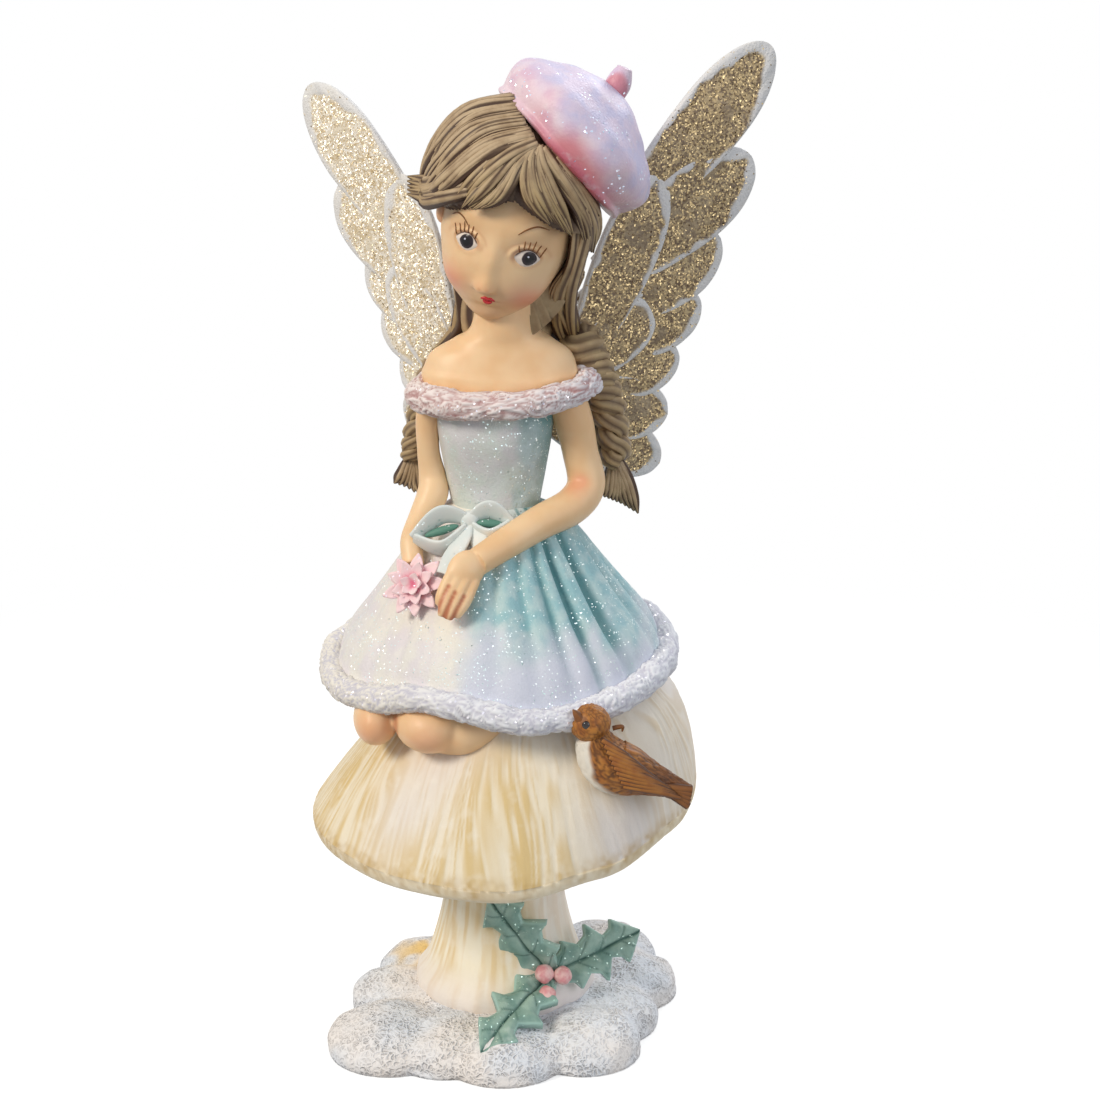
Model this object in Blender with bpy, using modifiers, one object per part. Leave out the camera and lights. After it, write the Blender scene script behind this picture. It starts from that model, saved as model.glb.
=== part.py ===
"""Resin figurine of a winged fairy kneeling on a toadstool, with a small bird and a sprig of holly.

One casting holds the snowy base, the toadstool, the girl with her clothes and hair, the flower,
the bird and the holly. The two wings are cast apart and glued to a flat land on her back.
Metres, +Z up. The origin is on the flat underside, below the middle of the stem, and the
front faces -Y.
"""

import math

import bmesh
import bpy
from mathutils import Matrix, Quaternion, Vector

# Snowy base
BASE_CORE_RADIUS = 0.0270
SNOW_HEIGHT = 0.0092
SNOW_SINK = 0.0012

# Toadstool
STEM_RADIUS = 0.0128
STEM_FOOT_RADIUS = 0.0188
CAP_RADIUS = 0.0395
CAP_RIM_HEIGHT = 0.0495
CAP_DOME_HEIGHT = 0.0305
CAP_LIP = 0.0030
CAP_FULLNESS = 3.4
CAP_CROWN_SHIFT = 0.0078

# The girl, heights above the crown of the cap
WAIST_HEIGHT = 0.0310
WAIST_RADIUS = 0.0088
BUST_HEIGHT = 0.0470
BUST_RADIUS = 0.0114
COLLAR_HEIGHT = 0.0553
COLLAR_HALF_WIDTH = 0.0166
COLLAR_HALF_DEPTH = 0.0094
COLLAR_THICKNESS = 0.0058
SHOULDER_HEIGHT = 0.0630
SHOULDER_HALF_WIDTH = 0.0136
NECK_RADIUS = 0.0058
HEM_THICKNESS = 0.0056
SKIRT_FOLDS = 20
FOLD_DEPTH = 0.0016
ARM_RADIUS = 0.0039
FINGER_RADIUS = 0.00115

# Head, hair and beret
HEAD_CENTRE = Vector((0.0013, -0.0006, 0.0884))
HEAD_LEAN = math.radians(13.0)
HEAD_TURN = math.radians(-8.0)
HEAD_NOD = math.radians(4.0)
FACE_HALF_WIDTH = 0.0130
FACE_HALF_DEPTH = 0.0138
FACE_HALF_HEIGHT = 0.0186
HAIR_HALF_WIDTH = 0.0171
HAIR_HALF_DEPTH = 0.0168
HAIR_HALF_HEIGHT = 0.0250
HAIR_SWELL = 0.13
FRINGE_THICKNESS = 0.0024
BERET_RADIUS = 0.0180
BERET_HEIGHT = 0.0170
BRAID_RADIUS = 0.0043

# Wings
WING_SEAT_DEPTH = 0.0118
GLUE_LINE = 0.0003
WING_ROOT_HALF_WIDTH = 0.0042
WING_ROOT_HEIGHT = 0.0500
WING_SWEEP = {"right": math.radians(18.0), "left": math.radians(32.0)}
FEATHER_THICKNESS = 0.0024

# Small things
BERRY_RADIUS = 0.0018
LEAF_THICKNESS = 0.0016
PETAL_LENGTH = 0.0060

CROWN_HEIGHT = CAP_RIM_HEIGHT + CAP_DOME_HEIGHT
AXIS_MERGE = 0.00001

PAINTS = {
    "snow": ((0.86, 0.88, 0.90), 0.75),
    "mushroom": ((0.86, 0.78, 0.60), 0.60),
    "skin": ((0.86, 0.62, 0.44), 0.45),
    "hair": ((0.30, 0.20, 0.12), 0.55),
    "beret": ((0.86, 0.62, 0.72), 0.50),
    "dress": ((0.62, 0.80, 0.78), 0.50),
    "fur": ((0.88, 0.84, 0.88), 0.80),
    "ribbon": ((0.86, 0.90, 0.90), 0.50),
    "flower": ((0.90, 0.62, 0.70), 0.50),
    "holly": ((0.33, 0.50, 0.46), 0.50),
    "berry": ((0.85, 0.42, 0.48), 0.40),
    "bird": ((0.46, 0.25, 0.09), 0.55),
    "wing": ((0.80, 0.72, 0.58), 0.50),
}


def clear_scene():
    for obj in list(bpy.data.objects):
        bpy.data.objects.remove(obj)


def new_collection(name):
    collection = bpy.data.collections.new(name)
    bpy.context.scene.collection.children.link(collection)
    return collection


def paint(name):
    """The named paint as a material, made on first use."""
    if name in bpy.data.materials:
        return bpy.data.materials[name]
    colour, roughness = PAINTS[name]
    material = bpy.data.materials.new(name)
    material.use_nodes = True
    shader = material.node_tree.nodes["Principled BSDF"]
    shader.inputs["Base Color"].default_value = (*colour, 1.0)
    shader.inputs["Roughness"].default_value = roughness
    shader.inputs["Metallic"].default_value = 0.0
    return material


def add_form(forms, name, mesh, paint_name):
    """A mesh as one form of a casting: it shows as wire, and the union picks it up."""
    obj = bpy.data.objects.new(name, mesh)
    mesh.materials.clear()
    mesh.materials.append(paint(paint_name))
    mesh.shade_smooth()
    mesh.set_sharp_from_angle(angle=math.radians(50))
    forms.objects.link(obj)
    obj.hide_render = True
    obj.display_type = "WIRE"
    return obj


def ball(forms, name, centre, radii, paint_name, turn=None, segments=12, rings=8):
    """An ellipsoid, turned by a rotation about its own centre."""
    place = Matrix.Translation(centre)
    if turn is not None:
        place = place @ turn.to_matrix().to_4x4()
    shape = bmesh.new()
    bmesh.ops.create_uvsphere(shape, u_segments=segments, v_segments=rings, radius=1.0)
    bmesh.ops.transform(shape, matrix=place @ Matrix.Diagonal((*radii, 1.0)), verts=shape.verts)
    mesh = bpy.data.meshes.new(name)
    shape.to_mesh(mesh)
    shape.free()
    return add_form(forms, name, mesh, paint_name)


def evaluated_mesh(source, name, merge):
    """The mesh that an object's modifiers or bevel make, welded. The source object is removed."""
    bpy.context.view_layer.update()
    graph = bpy.context.evaluated_depsgraph_get()
    mesh = bpy.data.meshes.new_from_object(source.evaluated_get(graph))
    shape = bmesh.new()
    shape.from_mesh(mesh)
    bmesh.ops.remove_doubles(shape, verts=shape.verts, dist=merge)
    bmesh.ops.recalc_face_normals(shape, faces=shape.faces)
    shape.to_mesh(mesh)
    shape.free()
    bpy.data.objects.remove(source)
    mesh.name = name
    return mesh


def tube(forms, name, points, radii, paint_name, cyclic=False, steps=3, sides=8):
    """A round rod along a smooth curve through the points, with its own radius at each point."""
    widest = max(radii)
    curve = bpy.data.curves.new(name, "CURVE")
    curve.dimensions = "3D"
    curve.bevel_depth = widest
    curve.bevel_resolution = (sides - 4) // 2
    curve.resolution_u = steps
    curve.use_fill_caps = not cyclic
    spline = curve.splines.new("BEZIER")
    spline.bezier_points.add(len(points) - 1)
    spline.use_cyclic_u = cyclic
    for knot, place, radius in zip(spline.bezier_points, points, radii):
        knot.co = place
        knot.radius = radius / widest
        knot.handle_left_type = "AUTO"
        knot.handle_right_type = "AUTO"
    rod = bpy.data.objects.new(name, curve)
    bpy.context.scene.collection.objects.link(rod)
    return add_form(forms, name, evaluated_mesh(rod, name, AXIS_MERGE), paint_name)


def turned(name, profile, steps):
    """A turned mesh about Z from (radius, height) pairs, given from the top, down the outside."""
    mesh = bpy.data.meshes.new(name + "_profile")
    edges = [(i, i + 1) for i in range(len(profile) - 1)]
    mesh.from_pydata([(radius, 0.0, height) for radius, height in profile], edges, [])
    lathe = bpy.data.objects.new(name + "_profile", mesh)
    bpy.context.scene.collection.objects.link(lathe)
    screw = lathe.modifiers.new("Turn", "SCREW")
    screw.steps = steps
    screw.render_steps = steps
    screw.use_merge_vertices = True
    screw.merge_threshold = AXIS_MERGE
    return evaluated_mesh(lathe, name, AXIS_MERGE)


def loft(forms, name, rings, paint_name):
    """A skin over rings of points, with a flat face closing each end."""
    shape = bmesh.new()
    rows = [[shape.verts.new(point) for point in ring] for ring in rings]
    count = len(rows[0])
    for lower, upper in zip(rows, rows[1:]):
        for i in range(count):
            j = (i + 1) % count
            shape.faces.new((lower[i], lower[j], upper[j], upper[i]))
    shape.faces.new(list(reversed(rows[0])))
    shape.faces.new(rows[-1])
    bmesh.ops.recalc_face_normals(shape, faces=shape.faces)
    mesh = bpy.data.meshes.new(name)
    shape.to_mesh(mesh)
    shape.free()
    return add_form(forms, name, mesh, paint_name)


def ellipse(centre, half_width, half_depth, count, turn=None):
    """Points round a level ellipse, or a turned one."""
    points = []
    for i in range(count):
        angle = 2 * math.pi * i / count
        offset = Vector((half_width * math.cos(angle), half_depth * math.sin(angle), 0.0))
        if turn is not None:
            offset = turn @ offset
        points.append(Vector(centre) + offset)
    return points


def closed_curve(points, count):
    """Evenly spread points on a smooth closed curve (Catmull-Rom) through the given ones."""
    total = len(points)
    result = []
    for i in range(count):
        place = total * i / count
        k = int(place)
        t = place - k
        p0, p1, p2, p3 = (points[(k + j) % total] for j in (-1, 0, 1, 2))
        result.append(
            0.5
            * (
                2 * p1
                + (p2 - p0) * t
                + (2 * p0 - 5 * p1 + 4 * p2 - p3) * t * t
                + (3 * p1 - p0 - 3 * p2 + p3) * t * t * t
            )
        )
    return result


def blade(forms, name, base, tip, face, width, thickness, paint_name, bow=0.0, stations=6, sides=8):
    """A flat feather or petal with a rounded tip: widest near its tip, domed on its face side."""
    base = Vector(base)
    tip = Vector(tip)
    along = (tip - base).normalized()
    length = (tip - base).length
    across = along.cross(face).normalized()
    up = across.cross(along).normalized()
    rings = []
    for i in range(stations):
        share = i / (stations - 1)
        place = 1 - (1 - share) ** 1.6
        round_end = math.sqrt(max(0.0, 1 - max(0.0, (place - 0.62) / 0.38) ** 2))
        half_width = 0.5 * width * (0.55 + 0.45 * math.sin(0.5 * math.pi * min(1.0, place / 0.62)))
        half_width *= max(0.12, round_end)
        half_thick = 0.5 * thickness * max(0.3, round_end)
        centre = base + along * length * place + up * bow * math.sin(math.pi * place)
        ring = []
        for k in range(sides):
            angle = 2 * math.pi * k / sides
            ring.append(centre + across * half_width * math.cos(angle) + up * half_thick * math.sin(angle))
        rings.append(ring)
    return loft(forms, name, rings, paint_name)


def sheet(forms, name, outline, thickness, place, paint_name):
    """A flat outline given half its thickness each way, then put where the matrix says."""
    curve = bpy.data.curves.new(name, "CURVE")
    curve.dimensions = "2D"
    curve.fill_mode = "BOTH"
    curve.extrude = 0.5 * thickness
    spline = curve.splines.new("POLY")
    spline.points.add(len(outline) - 1)
    spline.use_cyclic_u = True
    for knot, (x, y) in zip(spline.points, outline):
        knot.co = (x, y, 0.0, 1.0)
    flat = bpy.data.objects.new(name, curve)
    bpy.context.scene.collection.objects.link(flat)
    mesh = evaluated_mesh(flat, name, AXIS_MERGE)
    mesh.transform(place)
    return add_form(forms, name, mesh, paint_name)


def on_crown(x, y, z):
    """A place in the girl's own frame, which stands on the crown of the cap."""
    return Vector((x, y, CROWN_HEIGHT + z))


def head_turn():
    lean = Quaternion((0, 1, 0), HEAD_LEAN)
    turn = Quaternion((0, 0, 1), HEAD_TURN)
    nod = Quaternion((1, 0, 0), HEAD_NOD)
    return lean @ turn @ nod


def in_head(x, y, z):
    """A place in the head's frame: x to the viewer's right, -y out of the face, z to the crown."""
    return on_crown(*HEAD_CENTRE) + head_turn() @ Vector((x, y, z))


# Base


def snow_lobes():
    """(x, y, radius) of the rounded snow lobes round the edge, as seen from above."""
    return [
        (-0.0232, -0.0182, 0.0134),
        (-0.0120, -0.0215, 0.0112),
        (0.0000, -0.0230, 0.0132),
        (0.0162, -0.0190, 0.0124),
        (0.0205, -0.0065, 0.0118),
        (0.0250, 0.0085, 0.0120),
        (0.0200, 0.0205, 0.0128),
        (0.0040, 0.0225, 0.0125),
        (-0.0160, 0.0140, 0.0120),
        (-0.0228, 0.0010, 0.0098),
    ]


def add_base(forms):
    """Low snow lobes round a flat core. The cut at Z = 0 leaves the underside flat."""
    profile = [
        (0.0, SNOW_HEIGHT + SNOW_SINK),
        (0.7 * BASE_CORE_RADIUS, SNOW_HEIGHT),
        (BASE_CORE_RADIUS, 0.6 * SNOW_HEIGHT),
        (BASE_CORE_RADIUS, -SNOW_SINK),
        (0.0, -SNOW_SINK),
    ]
    add_form(forms, "snow_core", turned("snow_core", profile, 16), "snow")
    for number, (x, y, radius) in enumerate(snow_lobes(), 1):
        lift = 0.25 * SNOW_HEIGHT
        ball(
            forms, f"snow_lobe_{number}", (x, y, lift),
            (radius, radius, SNOW_HEIGHT - lift), "snow", segments=9, rings=6,
        )


# Toadstool


def add_stem(forms):
    profile = [
        (0.0, CAP_RIM_HEIGHT + 0.25 * CAP_DOME_HEIGHT),
        (1.04 * STEM_RADIUS, CAP_RIM_HEIGHT + 0.20 * CAP_DOME_HEIGHT),
        (STEM_RADIUS, 0.60 * CAP_RIM_HEIGHT),
        (1.03 * STEM_RADIUS, 0.45 * CAP_RIM_HEIGHT),
        (0.5 * (STEM_RADIUS + STEM_FOOT_RADIUS), 0.5 * SNOW_HEIGHT + 0.0085),
        (STEM_FOOT_RADIUS, SNOW_HEIGHT - SNOW_SINK),
        (STEM_FOOT_RADIUS, 0.5 * SNOW_HEIGHT),
        (0.0, 0.5 * SNOW_HEIGHT),
    ]
    add_form(forms, "stem", turned("stem", profile, 16), "mushroom")


def cap_rim_rise(angle):
    """How far the wavy rim stands above its mean height in a direction, as a share of the cap's radius."""
    knots = [0.110, 0.130, 0.140, 0.110, 0.030, -0.050, -0.075, -0.080, -0.100, -0.115, -0.040, 0.060]
    place = (angle / (2 * math.pi) % 1.0) * len(knots)
    k = int(place)
    ease = 0.5 - 0.5 * math.cos(math.pi * (place - k))
    return knots[k % len(knots)] * (1 - ease) + knots[(k + 1) % len(knots)] * ease


def cap_surface(x, y, z):
    """A place on the upright cap, moved to where the cap with its wavy rim and shifted crown has it."""
    angle = math.atan2(y, x)
    reach = min(1.0, math.hypot(x, y) / CAP_RADIUS)
    rim = CAP_RADIUS * cap_rim_rise(angle)
    if z <= 0:
        return Vector((x, y, CAP_RIM_HEIGHT + z + rim * reach))
    fall = reach ** (CAP_FULLNESS + 0.7 * math.cos(angle))
    height = CAP_DOME_HEIGHT + (rim - CAP_DOME_HEIGHT) * fall
    return Vector((x + CAP_CROWN_SHIFT * (1 - fall), y, CAP_RIM_HEIGHT + height))


def add_cap(forms):
    """A cap with full, sloping sides, a thin lip and a hollowed underside, higher at the right."""
    stations = [0.0, 0.35, 0.55, 0.70, 0.82, 0.92, 0.98]
    profile = [(CAP_RADIUS * out, CAP_DOME_HEIGHT * (1 - out ** CAP_FULLNESS)) for out in stations]
    profile += [
        (CAP_RADIUS, 0.0),
        (CAP_RADIUS - 0.1 * CAP_LIP, -0.7 * CAP_LIP),
        (CAP_RADIUS - 0.8 * CAP_LIP, -CAP_LIP),
        (0.5 * (CAP_RADIUS + STEM_RADIUS), -0.1 * CAP_LIP),
        (STEM_RADIUS, -0.05 * CAP_LIP),
        (0.0, -0.05 * CAP_LIP),
    ]
    mesh = turned("cap", profile, 25)
    for vertex in mesh.vertices:
        vertex.co = cap_surface(*vertex.co)
    add_form(forms, "cap", mesh, "mushroom")


# Dress


def hem_points():
    """The middle of the fur hem, which waves as it goes round."""
    return [
        on_crown(0.0326, -0.0030, 0.0006),
        on_crown(0.0312, 0.0100, 0.0025),
        on_crown(0.0250, 0.0220, 0.0030),
        on_crown(0.0080, 0.0285, 0.0015),
        on_crown(-0.0100, 0.0285, 0.0010),
        on_crown(-0.0250, 0.0220, 0.0000),
        on_crown(-0.0334, 0.0110, -0.0016),
        on_crown(-0.0346, -0.0025, -0.0026),
        on_crown(-0.0309, -0.0135, -0.0031),
        on_crown(-0.0241, -0.0205, -0.0022),
        on_crown(-0.0159, -0.0265, 0.0002),
        on_crown(-0.0070, -0.0305, -0.0004),
        on_crown(0.0036, -0.0325, -0.0024),
        on_crown(0.0125, -0.0302, -0.0025),
        on_crown(0.0211, -0.0245, -0.0015),
        on_crown(0.0282, -0.0165, 0.0000),
    ]


def fold_depth(angle):
    """How far the skirt's gathers cut in: deep at the right and back, shallow over the thighs."""
    thighs = math.exp(-((math.degrees(angle) % 360 - 235.0) / 42.0) ** 2)
    return FOLD_DEPTH * (0.5 - 0.5 * math.cos(SKIRT_FOLDS * angle)) * (1 - 0.85 * thighs)


def add_skirt(forms):
    """A bell of gathered cloth from the waist to the hem, with folds that deepen as they fall."""
    count = 2 * SKIRT_FOLDS
    hem = closed_curve(hem_points(), count)
    waist = ellipse(on_crown(-0.0015, 0.0010, WAIST_HEIGHT), WAIST_RADIUS, 0.8 * WAIST_RADIUS, count)
    # (share of the way down, share of the way out)
    bell = [(-0.045, 0.0), (0.06, 0.20), (0.17, 0.30), (0.36, 0.46), (0.58, 0.66), (0.80, 0.87), (1.0, 0.985)]
    rings = []
    for down, out in bell:
        ring = []
        for i in range(count):
            angle = 2 * math.pi * i / count
            level = waist[i].z + (hem[i].z - waist[i].z) * down
            flat = waist[i].lerp(hem[i], out)
            puff = math.sin(0.5 * math.pi * min(1.0, 3 * max(0.0, down))) * (1 - max(0.0, down) ** 6)
            outward = Vector((math.cos(angle), math.sin(angle), 0.0))
            fold = puff * (0.5 * FOLD_DEPTH - fold_depth(angle))
            ring.append(Vector((flat.x, flat.y, level)) + outward * fold)
        rings.append(ring)
    under = [Vector((p.x * 0.62, p.y * 0.62, p.z - 0.0095)) for p in hem]
    rings.append(under)
    loft(forms, "skirt", rings, "dress")


def add_hem(forms):
    points = hem_points()
    radii = [0.5 * HEM_THICKNESS * (1 + 0.08 * math.sin(2.3 * i)) for i in range(len(points))]
    tube(forms, "hem", points, radii, "fur", cyclic=True, steps=2, sides=6)


def add_bodice(forms):
    """(height, half width, half depth) stations from inside the skirt up to the chest."""
    stations = [
        (WAIST_HEIGHT - 0.0040, 1.08 * WAIST_RADIUS, 0.90 * WAIST_RADIUS),
        (WAIST_HEIGHT, WAIST_RADIUS, 0.80 * WAIST_RADIUS),
        (0.5 * (WAIST_HEIGHT + BUST_HEIGHT), 0.5 * (WAIST_RADIUS + BUST_RADIUS), 0.82 * WAIST_RADIUS),
        (BUST_HEIGHT, BUST_RADIUS, 0.78 * BUST_RADIUS),
        (COLLAR_HEIGHT, 1.05 * BUST_RADIUS, 0.70 * BUST_RADIUS),
    ]
    rings = [ellipse(on_crown(-0.0015, 0.0006, z), w, d, 12) for z, w, d in stations]
    loft(forms, "bodice", rings, "dress")


def add_chest_and_neck(forms):
    stations = [
        (COLLAR_HEIGHT - 0.0050, -0.0010, 0.95 * BUST_RADIUS, 0.66 * BUST_RADIUS),
        (COLLAR_HEIGHT + 0.0020, -0.0006, 1.12 * SHOULDER_HALF_WIDTH, 0.0080),
        (0.5 * (COLLAR_HEIGHT + SHOULDER_HEIGHT) + 0.001, -0.0004, 1.10 * SHOULDER_HALF_WIDTH, 0.0072),
        (SHOULDER_HEIGHT, -0.0002, SHOULDER_HALF_WIDTH, 0.0062),
        (SHOULDER_HEIGHT + 0.0025, 0.0002, 0.72 * SHOULDER_HALF_WIDTH, 0.0056),
        (SHOULDER_HEIGHT + 0.0055, 0.0005, 1.12 * NECK_RADIUS, NECK_RADIUS),
        (SHOULDER_HEIGHT + 0.0160, 0.0010, NECK_RADIUS, NECK_RADIUS),
    ]
    rings = [ellipse(on_crown(x, 0.0010, z), w, d, 12) for z, x, w, d in stations]
    loft(forms, "chest_and_neck", rings, "skin")


def add_collar(forms):
    count = 12
    points = []
    radii = []
    for i in range(count):
        angle = 2 * math.pi * i / count
        sag = 0.0003 + 0.0010 * math.sin(angle) + 0.0009 * math.cos(angle)
        points.append(
            on_crown(
                COLLAR_HALF_WIDTH * math.cos(angle),
                COLLAR_HALF_DEPTH * math.sin(angle),
                COLLAR_HEIGHT + sag,
            )
        )
        radii.append(0.5 * COLLAR_THICKNESS * (1 + 0.06 * math.sin(2.7 * i)))
    tube(forms, "collar", points, radii, "fur", cyclic=True, steps=2, sides=6)


# Arms and hands


def add_arms(forms):
    right = [
        on_crown(0.0115, 0.0005, COLLAR_HEIGHT + 0.0010),
        on_crown(0.0140, 0.0005, 0.0490),
        on_crown(0.0154, 0.0005, 0.0425),
        on_crown(0.0166, -0.0004, 0.0360),
        on_crown(0.0138, -0.0040, 0.0326),
        on_crown(0.0074, -0.0090, 0.0306),
        on_crown(-0.0004, -0.0142, 0.0272),
        on_crown(-0.0048, -0.0174, 0.0252),
    ]
    swell = [1.0, 1.0, 0.92, 0.98, 0.96, 0.88, 0.82, 0.80]
    tube(forms, "arm_right", right, [ARM_RADIUS * s for s in swell], "skin", steps=2, sides=7)
    left = [
        on_crown(-0.0120, 0.0005, COLLAR_HEIGHT + 0.0010),
        on_crown(-0.0147, 0.0005, 0.0500),
        on_crown(-0.0148, 0.0005, 0.0428),
        on_crown(-0.0141, 0.0005, 0.0376),
        on_crown(-0.0140, -0.0010, 0.0342),
        on_crown(-0.0163, -0.0040, 0.0300),
        on_crown(-0.0180, -0.0080, 0.0264),
        on_crown(-0.0175, -0.0110, 0.0225),
    ]
    swell = [0.87, 0.64, 0.58, 0.70, 0.80, 0.64, 0.58, 0.55]
    tube(forms, "arm_left", left, [ARM_RADIUS * s for s in swell], "skin", steps=2, sides=6)


def finger_routes():
    """Base, knuckle, middle and tip of each finger, from the one nearest the flower."""
    return [
        [
            (-0.0088, -0.0192, 0.0252), (-0.0108, -0.0212, 0.0218),
            (-0.0118, -0.0222, 0.0195), (-0.0121, -0.0224, 0.0180),
        ],
        [
            (-0.0078, -0.0198, 0.0240), (-0.0100, -0.0222, 0.0203),
            (-0.0112, -0.0232, 0.0178), (-0.0117, -0.0234, 0.0161),
        ],
        [
            (-0.0066, -0.0200, 0.0230), (-0.0085, -0.0224, 0.0197),
            (-0.0098, -0.0234, 0.0170), (-0.0104, -0.0236, 0.0155),
        ],
        [
            (-0.0052, -0.0196, 0.0222), (-0.0069, -0.0220, 0.0189),
            (-0.0081, -0.0230, 0.0172), (-0.0089, -0.0232, 0.0158),
        ],
    ]


def add_hand(forms):
    """The hand that lies on the skirt: a palm and four long fingers side by side."""
    palm = on_crown(-0.0070, -0.0190, 0.0240)
    palm_turn = Quaternion((0, 1, 0), math.radians(42.0)) @ Quaternion((1, 0, 0), math.radians(-24))
    ball(forms, "palm", palm, (0.0036, 0.0021, 0.0043), "skin", turn=palm_turn, segments=8, rings=6)
    radii = [FINGER_RADIUS * share for share in (1.0, 1.05, 1.0, 0.6)]
    for number, route in enumerate(finger_routes(), 1):
        points = [on_crown(*place) for place in route]
        tube(forms, f"finger_{number}", points, radii, "skin", steps=1, sides=5)


def add_knees(forms):
    ball(
        forms, "knee_left", on_crown(-0.0252, -0.0150, -0.0080),
        (0.0046, 0.0080, 0.0054), "skin", segments=10, rings=6,
    )
    ball(
        forms, "knee_right", on_crown(-0.0140, -0.0205, -0.0068),
        (0.0074, 0.0090, 0.0060), "skin", segments=10, rings=6,
    )
    shin = [
        on_crown(-0.0125, -0.0220, -0.0080),
        on_crown(-0.0075, -0.0234, -0.0082),
        on_crown(-0.0010, -0.0216, -0.0072),
    ]
    tube(forms, "shin", shin, [0.0046, 0.0043, 0.0026], "skin", steps=2, sides=8)


# Head


def face_radius(direction):
    """How far the skin lies from the head's centre, along a unit direction in the head's frame."""
    x, y, z = direction
    taper = 1.0
    if z < 0:
        taper = 1 - 0.22 * z * z
    radius = 1 / math.sqrt(
        (x / (FACE_HALF_WIDTH * taper)) ** 2 + (y / FACE_HALF_DEPTH) ** 2 + (z / FACE_HALF_HEIGHT) ** 2
    )

    def bump(cx, cz, spread, height):
        near = math.exp(-((x - cx) ** 2 + (z - cz) ** 2) / (2 * spread ** 2))
        return height * near if y < 0 else 0.0

    radius += bump(0.0, -0.30, 0.075, 0.0017)
    radius += bump(0.42, -0.36, 0.20, 0.0006) + bump(-0.42, -0.36, 0.20, 0.0006)
    radius += bump(0.0, -0.80, 0.16, 0.0008)
    radius -= bump(0.36, -0.02, 0.16, 0.0007) + bump(-0.36, -0.02, 0.16, 0.0007)
    radius += bump(0.0, -0.58, 0.07, 0.0006)
    return radius


def hairline(x):
    """The height of the hairline on a unit sphere, for a sideways place on it."""
    return 0.50 - 0.50 * abs(x - 0.15)


def hair_radius(direction):
    """The mass of the hair: full above the hairline and behind the ears, inside the skull in front."""
    x, y, z = direction
    swell = 1 + HAIR_SWELL * math.exp(-((x + 0.68) ** 2 + y ** 2 + (z - 0.73) ** 2) / 0.35)
    full = swell / math.sqrt(
        (x / HAIR_HALF_WIDTH) ** 2 + (y / HAIR_HALF_DEPTH) ** 2 + (z / HAIR_HALF_HEIGHT) ** 2
    )
    behind_ear = 0.30 if x < 0 else -0.15
    if z < hairline(x) and y < behind_ear:
        return 0.80 * min(full, FACE_HALF_WIDTH)
    return full


def shaped_ball(forms, name, radius_of, paint_name, segments, rings):
    """A ball in the head's frame whose radius follows a function of direction."""
    shape = bmesh.new()
    bmesh.ops.create_uvsphere(shape, u_segments=segments, v_segments=rings, radius=1.0)
    for vertex in shape.verts:
        direction = vertex.co.normalized()
        vertex.co = in_head(*(direction * radius_of(direction)))
    mesh = bpy.data.meshes.new(name)
    shape.to_mesh(mesh)
    shape.free()
    return add_form(forms, name, mesh, paint_name)


def add_head(forms):
    shaped_ball(forms, "head", face_radius, "skin", 16, 12)


def on_hair(x, z, sink=0.0):
    """A place on the front of the hair, from its sideways and upward shares of the unit sphere."""
    y = -math.sqrt(max(0.0, 1 - x * x - z * z))
    return in_head(x * HAIR_HALF_WIDTH, y * HAIR_HALF_DEPTH + sink, z * HAIR_HALF_HEIGHT)


def add_hair(forms):
    """The mass of the hair, the fringe swept each way from the parting, and the side locks."""
    shaped_ball(forms, "hair_mass", hair_radius, "hair", 16, 10)
    parting = (0.08, 0.76)
    fringe_ends = [(-0.92, 0.20), (-0.73, 0.21), (-0.40, 0.24), (-0.10, 0.30)]
    fringe_ends += [(0.28, 0.33), (0.60, 0.22), (0.86, 0.06)]
    for number, (x, z) in enumerate(fringe_ends, 1):
        side = math.copysign(1, x - parting[0])
        middle = (0.5 * (parting[0] + x) + 0.08 * side, 0.5 * (parting[1] + z) + 0.10)
        points = [on_hair(*parting, 0.0012), on_hair(*middle, 0.0010), on_hair(x, z, 0.0016)]
        radii = [0.6 * FRINGE_THICKNESS, 1.1 * FRINGE_THICKNESS, 0.45 * FRINGE_THICKNESS]
        tube(forms, f"fringe_{number}", points, radii, "hair", steps=2, sides=5)
    flick = [
        in_head(-0.0130, -0.0090, 0.0078),
        in_head(-0.0165, -0.0070, 0.0040),
        in_head(-0.0200, -0.0055, 0.0036),
    ]
    tube(forms, "flick", flick, [0.0026, 0.0019, 0.0006], "hair", steps=2, sides=6)
    right_lock = [
        in_head(0.0140, -0.0056, 0.0072),
        in_head(0.0138, -0.0034, -0.0022),
        in_head(0.0126, -0.0008, -0.0102),
        on_crown(0.0125, 0.0030, 0.0680),
        on_crown(0.0150, 0.0085, 0.0600),
    ]
    tube(forms, "lock_right", right_lock, [0.0022, 0.0030, 0.0036, 0.0042, 0.0038], "hair", steps=1, sides=8)
    left_lock = [
        in_head(-0.0095, 0.0040, 0.0000),
        in_head(-0.0085, 0.0050, -0.0100),
        on_crown(-0.0080, 0.0075, 0.0640),
        on_crown(-0.0130, 0.0095, 0.0540),
    ]
    tube(forms, "lock_left", left_lock, [0.0030, 0.0034, 0.0036, 0.0034], "hair", steps=1, sides=8)
    ball(
        forms, "nape", on_crown(0.0010, 0.0065, 0.0700),
        (0.0105, 0.0060, 0.0110), "hair", segments=8, rings=5,
    )


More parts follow.
